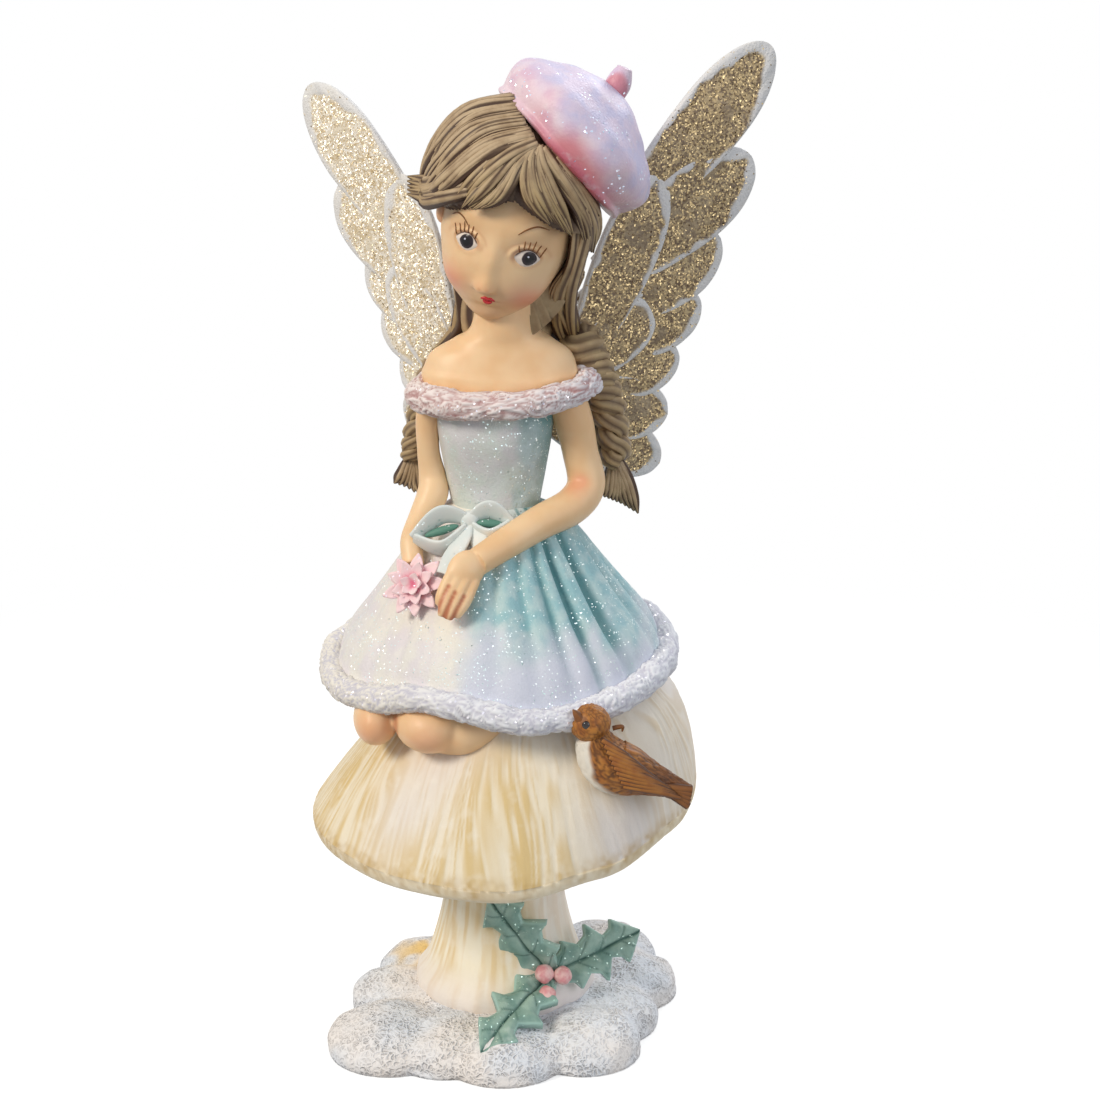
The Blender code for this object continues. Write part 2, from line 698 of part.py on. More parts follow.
def add_braid(forms, name, route, lobes):
    """Plaited lobes that lie across the route, slanting by turns to either side."""
    for number in range(lobes):
        share = number / (lobes - 1)
        place = share * (len(route) - 1)
        k = min(int(place), len(route) - 2)
        centre = route[k].lerp(route[k + 1], place - k)
        side = 1 if number % 2 else -1
        size = BRAID_RADIUS * (1 - 0.35 * share)
        slant = Quaternion((0, 1, 0), side * math.radians(38.0))
        shift = Vector((side * 0.30 * size, -0.1 * size, 0.0))
        ball(
            forms, f"{name}_{number + 1}", centre + shift,
            (0.80 * size, 0.90 * size, 1.35 * size), "hair", turn=slant, segments=7, rings=5,
        )
    radii = [0.75 * BRAID_RADIUS] * (len(route) - 1) + [0.35 * BRAID_RADIUS]
    tube(forms, f"{name}_core", route, radii, "hair", steps=1, sides=6)


def add_braids(forms):
    right = [
        on_crown(0.0162, 0.0075, 0.0620),
        on_crown(0.0196, 0.0080, 0.0520),
        on_crown(0.0220, 0.0080, 0.0410),
        on_crown(0.0236, 0.0075, 0.0290),
    ]
    add_braid(forms, "braid_right", right, 8)
    left = [
        on_crown(-0.0138, 0.0095, 0.0560),
        on_crown(-0.0158, 0.0095, 0.0480),
        on_crown(-0.0176, 0.0085, 0.0410),
        on_crown(-0.0192, 0.0080, 0.0345),
    ]
    add_braid(forms, "braid_left", left, 4)


def add_beret(forms):
    """A soft round beret with a tucked-in band and a short stalk, pulled down on one side."""
    half = 0.5 * BERET_HEIGHT
    profile = [
        (0.0, half),
        (0.27 * BERET_RADIUS, 0.93 * half),
        (0.52 * BERET_RADIUS, 0.70 * half),
        (0.72 * BERET_RADIUS, 0.42 * half),
        (0.91 * BERET_RADIUS, 0.12 * half),
        (BERET_RADIUS, -0.18 * half),
        (0.99 * BERET_RADIUS, -0.48 * half),
        (0.92 * BERET_RADIUS, -0.78 * half),
        (0.84 * BERET_RADIUS, -half),
        (0.0, -half),
    ]
    mesh = turned("beret", profile, 18)
    normal = Vector((0.73, 0.13, 0.65)).normalized()
    turn = Vector((0, 0, 1)).rotation_difference(normal)
    centre = on_crown(0.0168, 0.0026, 0.1074)
    place = Matrix.Translation(centre) @ turn.to_matrix().to_4x4()
    mesh.transform(place)
    add_form(forms, "beret", mesh, "beret")
    stalk = [
        centre + normal * 0.80 * half + Vector((-0.0008, 0.0, 0.0)),
        centre + normal * 1.08 * half + Vector((-0.0010, 0.0, 0.0018)),
        centre + normal * 1.18 * half + Vector((-0.0004, 0.0, 0.0042)),
    ]
    tube(forms, "beret_stalk", stalk, [0.0018, 0.0024, 0.0013], "beret", steps=2, sides=6)


# Flower and bow


def add_flower(forms):
    """A star flower of pointed petals in two rings, lying on the front of the skirt."""
    centre = on_crown(-0.0168, -0.0142, 0.0192)
    face = Vector((-0.35, -0.85, 0.40)).normalized()
    side = Vector((0, 0, 1)).cross(face).normalized()
    up = face.cross(side)
    ball(forms, "flower_heart", centre, (0.0020,) * 3, "flower", segments=6, rings=4)
    for layer, (petals, reach, lift) in enumerate([(7, 1.0, 0.0), (5, 0.62, 0.0014)], 1):
        for number in range(petals):
            angle = 2 * math.pi * (number + 0.3 * layer) / petals
            outward = side * math.cos(angle) + up * math.sin(angle)
            tip = centre + outward * PETAL_LENGTH * reach + face * lift
            blade(
                forms, f"petal_{layer}_{number + 1}", centre, tip, face,
                0.45 * PETAL_LENGTH, 0.0018, "flower", stations=3, sides=5,
            )


def add_bow(forms):
    """A ribbon bow at the waist: two loops, two tails and a knot."""
    knot = on_crown(-0.0062, -0.0078, WAIST_HEIGHT + 0.0002)
    ball(forms, "bow_knot", knot, (0.0016, 0.0016, 0.0018), "ribbon", segments=6, rings=5)
    ends = {
        "bow_loop_left": (-0.0064, 0.0010, 0.0018),
        "bow_loop_right": (0.0066, 0.0012, -0.0006),
        "bow_tail_left": (-0.0062, -0.0040, -0.0062),
        "bow_tail_right": (-0.0012, -0.0050, -0.0072),
    }
    face = Vector((0.0, -0.9, 0.35)).normalized()
    for name, offset in ends.items():
        blade(
            forms, name, knot, knot + Vector(offset), face,
            0.0042, 0.0018, "ribbon", stations=4, sides=6,
        )


# Bird


def add_bird(forms):
    """A small bird on the slope of the cap, with folded wings and a straight tail."""
    depth = -0.0300
    # (place to the right, place above the crown, radius) down the middle of the body
    stations = [
        (0.0176, -0.0060, 0.0034),
        (0.0190, -0.0095, 0.0047),
        (0.0212, -0.0122, 0.0055),
        (0.0250, -0.0137, 0.0050),
        (0.0295, -0.0154, 0.0034),
        (0.0330, -0.0168, 0.0025),
        (0.0362, -0.0186, 0.0021),
    ]
    spine = [on_crown(x, depth, z) for x, z, radius in stations]
    tube(forms, "bird_body", spine, [radius for x, z, radius in stations], "bird", steps=1, sides=10)
    head = on_crown(0.0172, depth - 0.0004, -0.0034)
    ball(forms, "bird_head", head, (0.0039, 0.0036, 0.0037), "bird", segments=8, rings=6)
    beak = [head + Vector((-0.0018, -0.0018, 0.0014)), head + Vector((-0.0034, -0.0022, 0.0036))]
    tube(forms, "beak", beak, [0.0011, 0.0004], "bird", steps=1, sides=6)
    start = on_crown(0.0196, depth - 0.0040, -0.0082)
    end = on_crown(0.0322, depth - 0.0022, -0.0158)
    outward = Vector((0.0, -1.0, 0.0))
    blade(forms, "bird_wing", start, end, outward, 0.0078, 0.0022, "bird", stations=5, sides=6)


# Holly


def leaf_outline(length, half_width, spikes):
    """A holly leaf along +X: spikes on both sides with hollow curves between them, and a sharp tip."""
    edge = []
    for i in range(spikes):
        share = (i + 0.75) / (spikes + 0.6)
        body = half_width * math.sin(math.pi * (0.14 + 0.78 * share))
        edge.append((length * (share - 0.42 / spikes), 0.50 * body))
        edge.append((length * (share - 0.12 / spikes), 0.66 * body))
        edge.append((length * share, body))
    lower = [(x, -y) for x, y in reversed(edge)]
    return [(0.0, 0.05 * half_width)] + edge + [(length, 0.0)] + lower + [(0.0, -0.05 * half_width)]


def add_leaf(forms, name, base, tip, face, half_width):
    outline = leaf_outline((tip - base).length, half_width, 3)
    along = (tip - base).normalized()
    across = face.cross(along).normalized()
    basis = Matrix((along, across, along.cross(across))).transposed().to_4x4()
    sheet(forms, name, outline, LEAF_THICKNESS, Matrix.Translation(base) @ basis, "holly")


def add_holly(forms):
    heart = Vector((0.0096, -0.0128, 0.0142))
    leaves = {
        "holly_leaf_up": ((-0.0032, -0.0138, 0.0312), (-0.25, -0.95, 0.15), 0.0066),
        "holly_leaf_right": ((0.0278, -0.0040, 0.0196), (0.45, -0.75, 0.45), 0.0064),
        "holly_leaf_low": ((-0.0046, -0.0320, 0.0062), (0.10, -0.45, 0.90), 0.0066),
    }
    for name, (tip, face, half_width) in leaves.items():
        add_leaf(forms, name, heart, Vector(tip), Vector(face).normalized(), half_width)
    berries = [(-0.0014, -0.0022, 0.0012), (0.0022, -0.0016, 0.0006), (0.0000, -0.0038, -0.0018)]
    for number, offset in enumerate(berries, 1):
        ball(
            forms, f"berry_{number}", heart + Vector(offset),
            (BERRY_RADIUS,) * 3, "berry", segments=6, rings=4,
        )


# Wings


def add_wing_seat(forms):
    """The flat land on the girl's back that the wings are glued to."""
    depth = WING_SEAT_DEPTH
    stations = [(0.0020, 1.0), (0.75 * depth, 1.0), (depth, 0.86)]
    half_width = 2.2 * WING_ROOT_HALF_WIDTH
    half_height = 0.0075
    rings = []
    for y, share in stations:
        ring = []
        for k in range(12):
            angle = 2 * math.pi * k / 12
            ring.append(
                on_crown(
                    half_width * share * math.cos(angle),
                    y,
                    WING_ROOT_HEIGHT + half_height * share * math.sin(angle),
                )
            )
        rings.append(ring)
    loft(forms, "wing_seat", rings, "dress")


def wing_feathers(side):
    """(base, tip, width, layer) of each feather, with places out and up from the root."""
    if side == "right":
        return [
            ((0.020, 0.0340), (0.0512, 0.0688), 0.0150, 0),
            ((0.016, 0.0240), (0.0475, 0.0465), 0.0165, 0),
            ((0.012, 0.0160), (0.0412, 0.0300), 0.0165, 0),
            ((0.009, 0.0090), (0.0372, 0.0170), 0.0145, 0),
            ((0.006, 0.0030), (0.0325, 0.0060), 0.0135, 0),
            ((0.004, 0.0000), (0.0300, -0.0060), 0.0135, 0),
            ((0.003, -0.0030), (0.0285, -0.0165), 0.0125, 0),
            ((0.010, 0.0040), (0.0270, 0.0468), 0.0120, 1),
            ((0.008, 0.0020), (0.0285, 0.0300), 0.0120, 1),
            ((0.006, 0.0000), (0.0250, 0.0140), 0.0110, 1),
        ]
    return [
        ((0.012, 0.0280), (0.0410, 0.0596), 0.0150, 0),
        ((0.010, 0.0200), (0.0335, 0.0405), 0.0160, 0),
        ((0.008, 0.0120), (0.0262, 0.0275), 0.0150, 0),
        ((0.006, 0.0060), (0.0228, 0.0165), 0.0140, 0),
        ((0.004, 0.0020), (0.0190, 0.0060), 0.0130, 0),
        ((0.003, -0.0010), (0.0178, -0.0075), 0.0120, 0),
        ((0.006, 0.0040), (0.0185, 0.0440), 0.0130, 1),
        ((0.005, 0.0020), (0.0195, 0.0260), 0.0120, 1),
    ]


def add_wing(forms, side):
    """Overlapping feather blades that fan out from a root block with a flat glued face."""
    sign = 1 if side == "right" else -1
    sweep = WING_SWEEP[side]
    out = Vector((sign * math.cos(sweep), math.sin(sweep), 0.0))
    face = Vector((sign * math.sin(sweep), -math.cos(sweep), 0.0))
    root_x = sign * 1.15 * WING_ROOT_HALF_WIDTH
    land = WING_SEAT_DEPTH + GLUE_LINE
    root_thickness = 1.6 * FEATHER_THICKNESS
    root = on_crown(root_x, land + 0.5 * root_thickness + 0.0006, WING_ROOT_HEIGHT)
    rings = []
    for y, share in ((land, 0.9), (land + 0.3 * root_thickness, 1.0), (land + root_thickness, 0.8)):
        ring = []
        for k in range(12):
            angle = 2 * math.pi * k / 12
            ring.append(
                on_crown(
                    root_x + WING_ROOT_HALF_WIDTH * share * math.cos(angle),
                    y,
                    WING_ROOT_HEIGHT + 0.0062 * share * math.sin(angle),
                )
            )
        rings.append(ring)
    loft(forms, f"root_{side}", rings, "wing")
    feathers = wing_feathers(side)
    long_ones = [feather for feather in feathers if feather[3] == 0]
    web = [(0.002, -0.004)]
    for base, tip, width, layer in reversed(long_ones):
        web.append((base[0] + 0.84 * (tip[0] - base[0]), base[1] + 0.84 * (tip[1] - base[1])))
    web += [long_ones[0][0], (0.002, 0.006)]
    upright = Matrix((out, Vector((0, 0, 1)), -face)).transposed().to_4x4()
    behind = Matrix.Translation(root)
    sheet(forms, f"web_{side}", web, 1.3 * FEATHER_THICKNESS, behind @ upright, "wing")
    for number, (base, tip, width, layer) in enumerate(feathers, 1):
        lift = face * FEATHER_THICKNESS * (0.30 + 0.45 * layer - 0.10 * (number % 2))
        blade(
            forms, f"feather_{side}_{number}",
            root + out * base[0] + Vector((0, 0, base[1])) + lift,
            root + out * tip[0] + Vector((0, 0, tip[1])) + lift,
            face, width, FEATHER_THICKNESS, "wing", bow=0.0008, stations=6, sides=6,
        )
    arm = [
        root + out * 0.002,
        root + out * 0.006 + Vector((0, 0, 0.006)),
        root + out * 0.010 + Vector((0, 0, 0.016)),
        root + out * 0.016 + Vector((0, 0, 0.030)),
    ]
    tube(forms, f"arm_{side}", arm, [0.0019, 0.0024, 0.0026, 0.0012], "wing", steps=1, sides=6)


# Castings


def union_of(name, first, forms, parts):
    """One solid from all the forms in a collection, with the paint of each kept."""
    body = bpy.data.objects.new(name, first.data.copy())
    parts.objects.link(body)
    bpy.data.objects.remove(first)
    union = body.modifiers.new("Cast as one", "BOOLEAN")
    union.operation = "UNION"
    union.solver = "EXACT"
    union.operand_type = "COLLECTION"
    union.collection = forms
    union.material_mode = "TRANSFER"
    return body


def cut_flat(body, cutters):
    """Takes away all that reaches below the underside."""
    size = 4 * BASE_CORE_RADIUS
    shape = bmesh.new()
    bmesh.ops.create_cube(shape, size=1.0)
    place = Matrix.Translation((0.0, 0.0, -0.5 * size)) @ Matrix.Diagonal((size, size, size, 1.0))
    bmesh.ops.transform(shape, matrix=place, verts=shape.verts)
    mesh = bpy.data.meshes.new("below_ground")
    shape.to_mesh(mesh)
    shape.free()
    cutter = add_form(cutters, "below_ground", mesh, "snow")
    cut = body.modifiers.new("Flat underside", "BOOLEAN")
    cut.operation = "DIFFERENCE"
    cut.solver = "EXACT"
    cut.object = cutter


def build_figurine(parts, cutters):
    forms = new_collection("figurine_forms")
    add_base(forms)
    add_stem(forms)
    add_cap(forms)
    add_skirt(forms)
    add_hem(forms)
    add_bodice(forms)
    add_chest_and_neck(forms)
    add_collar(forms)
    add_arms(forms)
    add_hand(forms)
    add_knees(forms)
    add_head(forms)
    add_hair(forms)
    add_braids(forms)
    add_beret(forms)
    add_flower(forms)
    add_bow(forms)
    add_bird(forms)
    add_holly(forms)
    add_wing_seat(forms)
    figurine = union_of("figurine", forms.objects["snow_core"], forms, parts)
    cut_flat(figurine, cutters)


def build_wing(parts, side):
    forms = new_collection(f"wing_{side}_forms")
    add_wing(forms, side)
    union_of(f"wing_{side}", forms.objects[f"root_{side}"], forms, parts)


def main():
    clear_scene()
    parts = new_collection("fairy_figurine")
    cutters = new_collection("cutters")
    build_figurine(parts, cutters)
    for side in ("left", "right"):
        build_wing(parts, side)


main()
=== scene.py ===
import math

import bmesh
import bpy
import numpy as np
from mathutils import Matrix, Vector


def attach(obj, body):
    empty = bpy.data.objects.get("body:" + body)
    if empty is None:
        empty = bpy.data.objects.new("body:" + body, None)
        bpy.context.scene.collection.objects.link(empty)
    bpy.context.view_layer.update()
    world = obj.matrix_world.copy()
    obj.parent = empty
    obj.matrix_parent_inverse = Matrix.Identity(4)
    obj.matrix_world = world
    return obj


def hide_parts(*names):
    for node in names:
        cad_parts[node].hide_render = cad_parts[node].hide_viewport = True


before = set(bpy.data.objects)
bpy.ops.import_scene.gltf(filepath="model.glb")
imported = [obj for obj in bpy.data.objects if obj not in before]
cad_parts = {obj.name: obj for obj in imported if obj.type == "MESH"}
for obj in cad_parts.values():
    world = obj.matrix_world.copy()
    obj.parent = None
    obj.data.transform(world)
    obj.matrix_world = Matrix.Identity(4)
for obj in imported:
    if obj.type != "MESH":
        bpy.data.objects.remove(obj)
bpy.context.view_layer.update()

# Sizes are in millimetres, and a mesh is scaled to metres as it is made
MM = 0.001
CAP_RADIUS = 39.5
CAP_RIM_HEIGHT = 49.5
CAP_DOME_HEIGHT = 30.5
CAP_LIP = 3.0
CAP_FULLNESS = 3.4
CAP_CROWN_SHIFT = 7.8
CAP_RIM_RISE = [0.110, 0.130, 0.140, 0.110, 0.030, -0.050, -0.075, -0.080, -0.100, -0.115, -0.040, 0.060]
FOLD_DEPTH = 1.6
SKIRT_FOLDS = 20
STEM_RADIUS = 12.8
STEM_FOOT_RADIUS = 18.8
SNOW_HEIGHT = 9.2
CROWN = CAP_RIM_HEIGHT + CAP_DOME_HEIGHT
WAIST_HEIGHT = 31.0
WAIST_RADIUS = 8.8
BUST_HEIGHT = 47.0
BUST_RADIUS = 11.4
COLLAR_HEIGHT = 55.3
COLLAR_HALF_WIDTH = 16.6
COLLAR_HALF_DEPTH = 9.4
COLLAR_THICKNESS = 5.8
SHOULDER_HEIGHT = 63.0
SHOULDER_HALF_WIDTH = 13.6
NECK_RADIUS = 5.8
HEM_THICKNESS = 5.6
ARM_RADIUS = 3.9
HEAD_CENTRE = np.array([1.3, -0.6, CROWN + 88.4])
HEAD_LEAN = math.radians(13.0)
HEAD_TURN = math.radians(-8.0)
HEAD_NOD = math.radians(4.0)
FACE_RADII = np.array([13.0, 13.8, 18.6])
HAIR_RADII = np.array([17.1, 16.8, 25.0])
HAIR_SWELL = 0.13
BERET_RADIUS = 18.0
BERET_HEIGHT = 17.0
# Places on the face are (x, z) in the head's frame
EYES = [(-5.9, -1.8), (6.1, -2.2)]
EYE_HALF_WIDTH = 2.35
EYE_HALF_HEIGHT = 1.75
NOSE = (-0.6, -8.8)
MOUTH = (0.4, -12.4)
CHEEKS = [(-7.8, -10.6), (7.4, -11.4)]
WING_SEAT_DEPTH = 11.8
GLUE_LINE = 0.3
WING_ROOT_HEIGHT = 50.0
WING_SWEEP = {"right": math.radians(18.0), "left": math.radians(32.0)}
FEATHER_THICKNESS = 2.4

# The camera stands where the photograph was taken from
CAMERA_DISTANCE = 600.0
CAMERA_ELEVATION = math.radians(18.0)
CAMERA_TARGET = np.array([9.4, 0.0, 102.0])
CAMERA_LENS = 97.69
SENSOR = 36.0
PHOTO_SIZE = 1100
BACKWARD = np.array([0.0, -math.cos(CAMERA_ELEVATION), math.sin(CAMERA_ELEVATION)])
CAMERA_PLACE = CAMERA_TARGET + CAMERA_DISTANCE * BACKWARD


# Noise

def lattice(x, y, z, seed):
    """A repeatable number from 0 to 1 for each point of a whole-number lattice."""
    n = (x * 73856093) ^ (y * 19349663) ^ (z * 83492791) ^ (seed * 2654435761)
    n = ((n ^ (n >> 13)) & 0xFFFFFFFF) * 1274126177
    n = (n ^ (n >> 16)) & 0xFFFF
    return n / 65535.0


def noise(points, size, seed=0):
    """Smooth lumps of about the given size, from -1 to 1."""
    scaled = np.asarray(points, float) / size
    base = np.floor(scaled).astype(np.int64)
    t = scaled - base
    t = t * t * (3 - 2 * t)
    total = np.zeros(scaled.shape[:-1])
    for corner in range(8):
        step = np.array([corner & 1, (corner >> 1) & 1, (corner >> 2) & 1])
        weight = np.prod(np.where(step == 1, t, 1 - t), axis=-1)
        total += weight * lattice(*np.moveaxis(base + step, -1, 0), seed)
    return 2 * total - 1


def fractal(points, size, octaves=3, seed=0):
    """Noise with finer and finer lumps added at half the height each."""
    total = 0.0
    for k in range(octaves):
        total = total + noise(points, size / 2 ** k, seed + 7 * k) / 2 ** k
    return total / (2 - 0.5 ** (octaves - 1))


def cells(points, seed=0):
    """Distances to the two nearest of seeds scattered one to a cell, and the nearest one's number."""
    points = np.asarray(points, float)
    base = np.floor(points).astype(np.int64)
    nearest = np.full(points.shape[:-1], 9.0)
    second = nearest
    number = 0 * nearest
    for k in range(27):
        cell = base + np.array([k % 3 - 1, k // 3 % 3 - 1, k // 9 - 1])
        x, y, z = np.moveaxis(cell, -1, 0)
        spot = cell + np.stack([lattice(x, y, z, seed + j) for j in (1, 2, 3)], axis=-1)
        gap = np.linalg.norm(points - spot, axis=-1)
        closer = gap < nearest
        second = np.where(closer, nearest, np.minimum(second, gap))
        nearest = np.where(closer, gap, nearest)
        number = np.where(closer, lattice(x, y, z, seed + 4), number)
    return nearest, second, number


def smooth(value, low, high):
    """0 below low, 1 above high and an eased step between."""
    t = np.clip((value - low) / (high - low), 0, 1)
    return t * t * (3 - 2 * t)


def bump_at(x, z, centre_x, centre_z, spread_x, spread_z, height):
    """A smooth hill of the given height and spread."""
    return height * np.exp(-0.5 * ((x - centre_x) / spread_x) ** 2 - 0.5 * ((z - centre_z) / spread_z) ** 2)


def ring_angles(count):
    """Angles spread evenly once round a ring."""
    return 2 * np.pi * np.arange(count) / count


def together(x, y, z):
    """Points from their three coordinates, which may have any shapes that fit one another."""
    return np.stack(np.broadcast_arrays(x, y, z), axis=-1)


# Shapes

class Shape:
    """Points in millimetres, faces, and numbers for each point that a material reads."""

    def __init__(self, points, faces, marks=None):
        self.points = np.asarray(points, float)
        self.faces = faces
        self.marks = marks or {}


def spline(knots, count, closed=False):
    """Evenly spread points on a smooth curve (Catmull-Rom) through the knots, which may have any width."""
    knots = np.asarray(knots, float)
    total = len(knots)
    spans = total if closed else total - 1
    place = np.arange(count) * spans / (count if closed else count - 1)
    k = np.minimum(place.astype(int), spans - 1)
    t = (place - k)[:, None]

    def at(step):
        if closed:
            return knots[(k + step) % total]
        return knots[np.clip(k + step, 0, total - 1)]

    p0, p1, p2, p3 = at(-1), at(0), at(1), at(2)
    cubic = 2 * p1 + (p2 - p0) * t + (2 * p0 - 5 * p1 + 4 * p2 - p3) * t ** 2
    return 0.5 * (cubic + (3 * p1 - p0 - 3 * p2 + p3) * t ** 3)


def grid(points, marks=None, loop_rows=False):
    """A skin over rows of points that each run round a ring. Ends are closed to a middle point."""
    rows, cols = points.shape[:2]
    index = np.arange(rows * cols).reshape(rows, cols)
    if loop_rows:
        index = np.vstack([index, index[:1]])
    a, b = index[:-1], index[1:]
    quads = np.stack([a, np.roll(a, -1, 1), np.roll(b, -1, 1), b], axis=-1).reshape(-1, 4)
    faces = quads.tolist()
    flat = points.reshape(-1, 3)
    marks = {name: np.asarray(values, float).ravel() for name, values in (marks or {}).items()}
    if not loop_rows:
        for row, ring in ((0, index[0]), (rows - 1, index[-1])):
            middle = len(flat)
            flat = np.vstack([flat, points[row].mean(0)])
            faces += [(int(ring[i]), int(ring[(i + 1) % cols]), middle) for i in range(cols)]
            marks = {name: np.append(values, values[ring].mean()) for name, values in marks.items()}
    return Shape(flat, faces, marks)


def join(shapes):
    """Several shapes as one, each still a closed skin of its own."""
    names = {name for shape in shapes for name in shape.marks}
    points = np.vstack([shape.points for shape in shapes])
    faces = []
    start = 0
    for shape in shapes:
        faces += [tuple(i + start for i in face) for face in shape.faces]
        start += len(shape.points)
    marks = {
        name: np.concatenate([shape.marks.get(name, np.zeros(len(shape.points))) for shape in shapes])
        for name in names
    }
    return Shape(points, faces, marks)


def frames_along(route):
    """Unit vectors along a route, and two across it that turn as little as they can."""
    ahead = np.gradient(route, axis=0)
    ahead /= np.linalg.norm(ahead, axis=1)[:, None]
    side = np.cross(ahead[0], [0.0, 0.0, 1.0])
    if np.linalg.norm(side) < 0.1:
        side = np.cross(ahead[0], [0.0, 1.0, 0.0])
    sides = []
    for direction in ahead:
        side = side - direction * (side @ direction)
        side = side / np.linalg.norm(side)
        sides.append(side)
    sides = np.array(sides)
    return ahead, sides, np.cross(ahead, sides)


def rod(knots, radii, rows, sides, flat=1.0, up=None, shape_of=None):
    """A rod along a smooth route. flat squeezes it along up, a direction for the whole rod."""
    line = spline(np.column_stack([knots, radii]), rows)
    route, radius = line[:, :3], line[:, 3]
    ahead, side, normal = frames_along(route)
    if up is not None:
        normal = np.asarray(up, float) - ahead * (ahead @ np.asarray(up, float))[:, None]
        normal /= np.linalg.norm(normal, axis=1)[:, None]
        side = np.cross(normal, ahead)
    angle = ring_angles(sides)
    reach = radius[:, None] * np.ones(sides)
    if shape_of is not None:
        reach = reach * shape_of(np.linspace(0, 1, rows)[:, None], angle[None, :])
    across = side[:, None] * (reach * np.cos(angle))[..., None]
    rise = normal[:, None] * (reach * np.sin(angle) * flat)[..., None]
    share = np.linspace(0, 1, rows)[:, None]
    marks = {"up": np.tile(np.sin(angle), (rows, 1)), "along": np.tile(share, (1, sides))}
    return grid(route[:, None] + across + rise, marks)


def ball(centre, radii, turn=None, segments=40, rings=24):
    """An ellipsoid, turned by a matrix about its own centre."""
    polar = np.pi * (np.arange(rings) + 0.5) / rings
    angle = ring_angles(segments)
    unit = np.stack([
        np.sin(polar)[:, None] * np.cos(angle),
        np.sin(polar)[:, None] * np.sin(angle),
        np.cos(polar)[:, None] * np.ones(segments),
    ], axis=-1)
    points = unit * np.asarray(radii, float)
    if turn is not None:
        points = points @ turn.T
    return grid(points + np.asarray(centre, float))


def turning(axis, angle):
    """A rotation matrix about an axis."""
    return np.array(Matrix.Rotation(angle, 3, Vector(axis)))


def new_object(name, shape):
    mesh = bpy.data.meshes.new(name)
    mesh.from_pydata((shape.points * MM).tolist(), [], shape.faces)
    for mark, values in shape.marks.items():
        layer = mesh.attributes.new(mark, "FLOAT", "POINT")
        layer.data.foreach_set("value", np.asarray(values, np.float32))
    obj = bpy.data.objects.new(name, mesh)
    bpy.context.scene.collection.objects.link(obj)
    return obj


def fuse(shapes, voxel, smoothing, keep=1.0):
    """Overlapping shapes melted into one soft skin, which keeps a share of its faces."""
    obj = new_object("melting", join([Shape(s.points, s.faces) for s in shapes]))
    remesh = obj.modifiers.new("Melt", "REMESH")
    remesh.mode = "VOXEL"
    remesh.voxel_size = voxel * MM
    soften = obj.modifiers.new("Soften", "SMOOTH")
    soften.factor = 0.5
    soften.iterations = smoothing
    if keep < 1:
        obj.modifiers.new("Thin", "DECIMATE").ratio = keep
    bpy.context.view_layer.update()
    mesh = bpy.data.meshes.new_from_object(obj.evaluated_get(bpy.context.evaluated_depsgraph_get()))
    points = np.zeros(len(mesh.vertices) * 3)
    mesh.vertices.foreach_get("co", points)
    faces = [tuple(face.vertices) for face in mesh.polygons]
    bpy.data.objects.remove(obj)
    return Shape(points.reshape(-1, 3) / MM, faces)


def normals_of(shape):
    """Outward unit vectors at the points of a shape."""
    mesh = bpy.data.meshes.new("measure")
    mesh.from_pydata(shape.points.tolist(), [], shape.faces)
    mesh.update()
    values = np.zeros(len(mesh.vertices) * 3)
    mesh.vertices.foreach_get("normal", values)
    bpy.data.meshes.remove(mesh)
    return values.reshape(-1, 3)


def piece(name, shape, material, node="figurine"):
    """A finished piece of the visual model: it rides on the part's body and stands for a CAD node."""
    obj = new_object(name, shape)
    work = bmesh.new()
    work.from_mesh(obj.data)
    bmesh.ops.recalc_face_normals(work, faces=work.faces)
    work.to_mesh(obj.data)
    work.free()
    obj.data.materials.append(material)
    obj.data.shade_smooth()
    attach(obj, "root")
    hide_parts(node)
    return obj


# Places

def on_crown(x, y, z):
    """A place in the girl's own frame, which stands on the crown of the cap."""
    return np.array([x, y, CROWN + z])


HEAD_MATRIX = turning((0, 1, 0), HEAD_LEAN) @ turning((0, 0, 1), HEAD_TURN) @ turning((1, 0, 0), HEAD_NOD)


def hair_swell(unit):
    """How much fuller the hair is than its ellipsoid: most at the upper left."""
    return 1 + HAIR_SWELL * np.exp(-((unit[..., 0] + 0.68) ** 2 + unit[...,
        1] ** 2 + (unit[..., 2] - 0.73) ** 2) / 0.35)


def in_head(points):
    """Places in the head's frame: x to the viewer's right, -y out of the face, z to the crown."""
    return HEAD_CENTRE + np.asarray(points, float) @ HEAD_MATRIX.T


def on_head(pixels, radii, lift=0.0):
    """Where lines of sight through pixels of the photograph meet the hair."""
    reach = CAMERA_LENS / SENSOR * PHOTO_SIZE
    right = np.array([1.0, 0.0, 0.0])
    upward = np.cross(right, -BACKWARD)
    found = []
    for px, py in pixels:
        ray = -BACKWARD * reach + right * (px - PHOTO_SIZE / 2) - upward * (py - PHOTO_SIZE / 2)
        full = np.array(radii)
        for _ in range(4):
            start = (CAMERA_PLACE - HEAD_CENTRE) @ HEAD_MATRIX / full
            along = ray @ HEAD_MATRIX / full
            a, b, c = along @ along, 2 * start @ along, start @ start - 1
            t = (-b - math.sqrt(max(0.0, b * b - 4 * a * c))) / (2 * a)
            spot = start + t * along
            spot = spot / np.linalg.norm(spot)
            away = spot * full
            full = radii * hair_swell(away / np.linalg.norm(away))
        found.append(away + lift * away / np.linalg.norm(away))
    return in_head(found)


# Materials

def tint(red, green, blue):
    """A colour as it looks on a screen, 0 to 255, in the renderer's linear numbers."""
    return tuple(((v / 255 + 0.055) / 1.055) ** 2.4 if v > 10 else v / 3294.6 for v in (red, green,
        blue)) + (1.0,)


def feed(tree, socket, value):
    """Links an output to a socket, or sets the socket to a plain value."""
    if isinstance(value, bpy.types.NodeSocket):
        tree.links.new(value, socket)
    else:
        socket.default_value = value


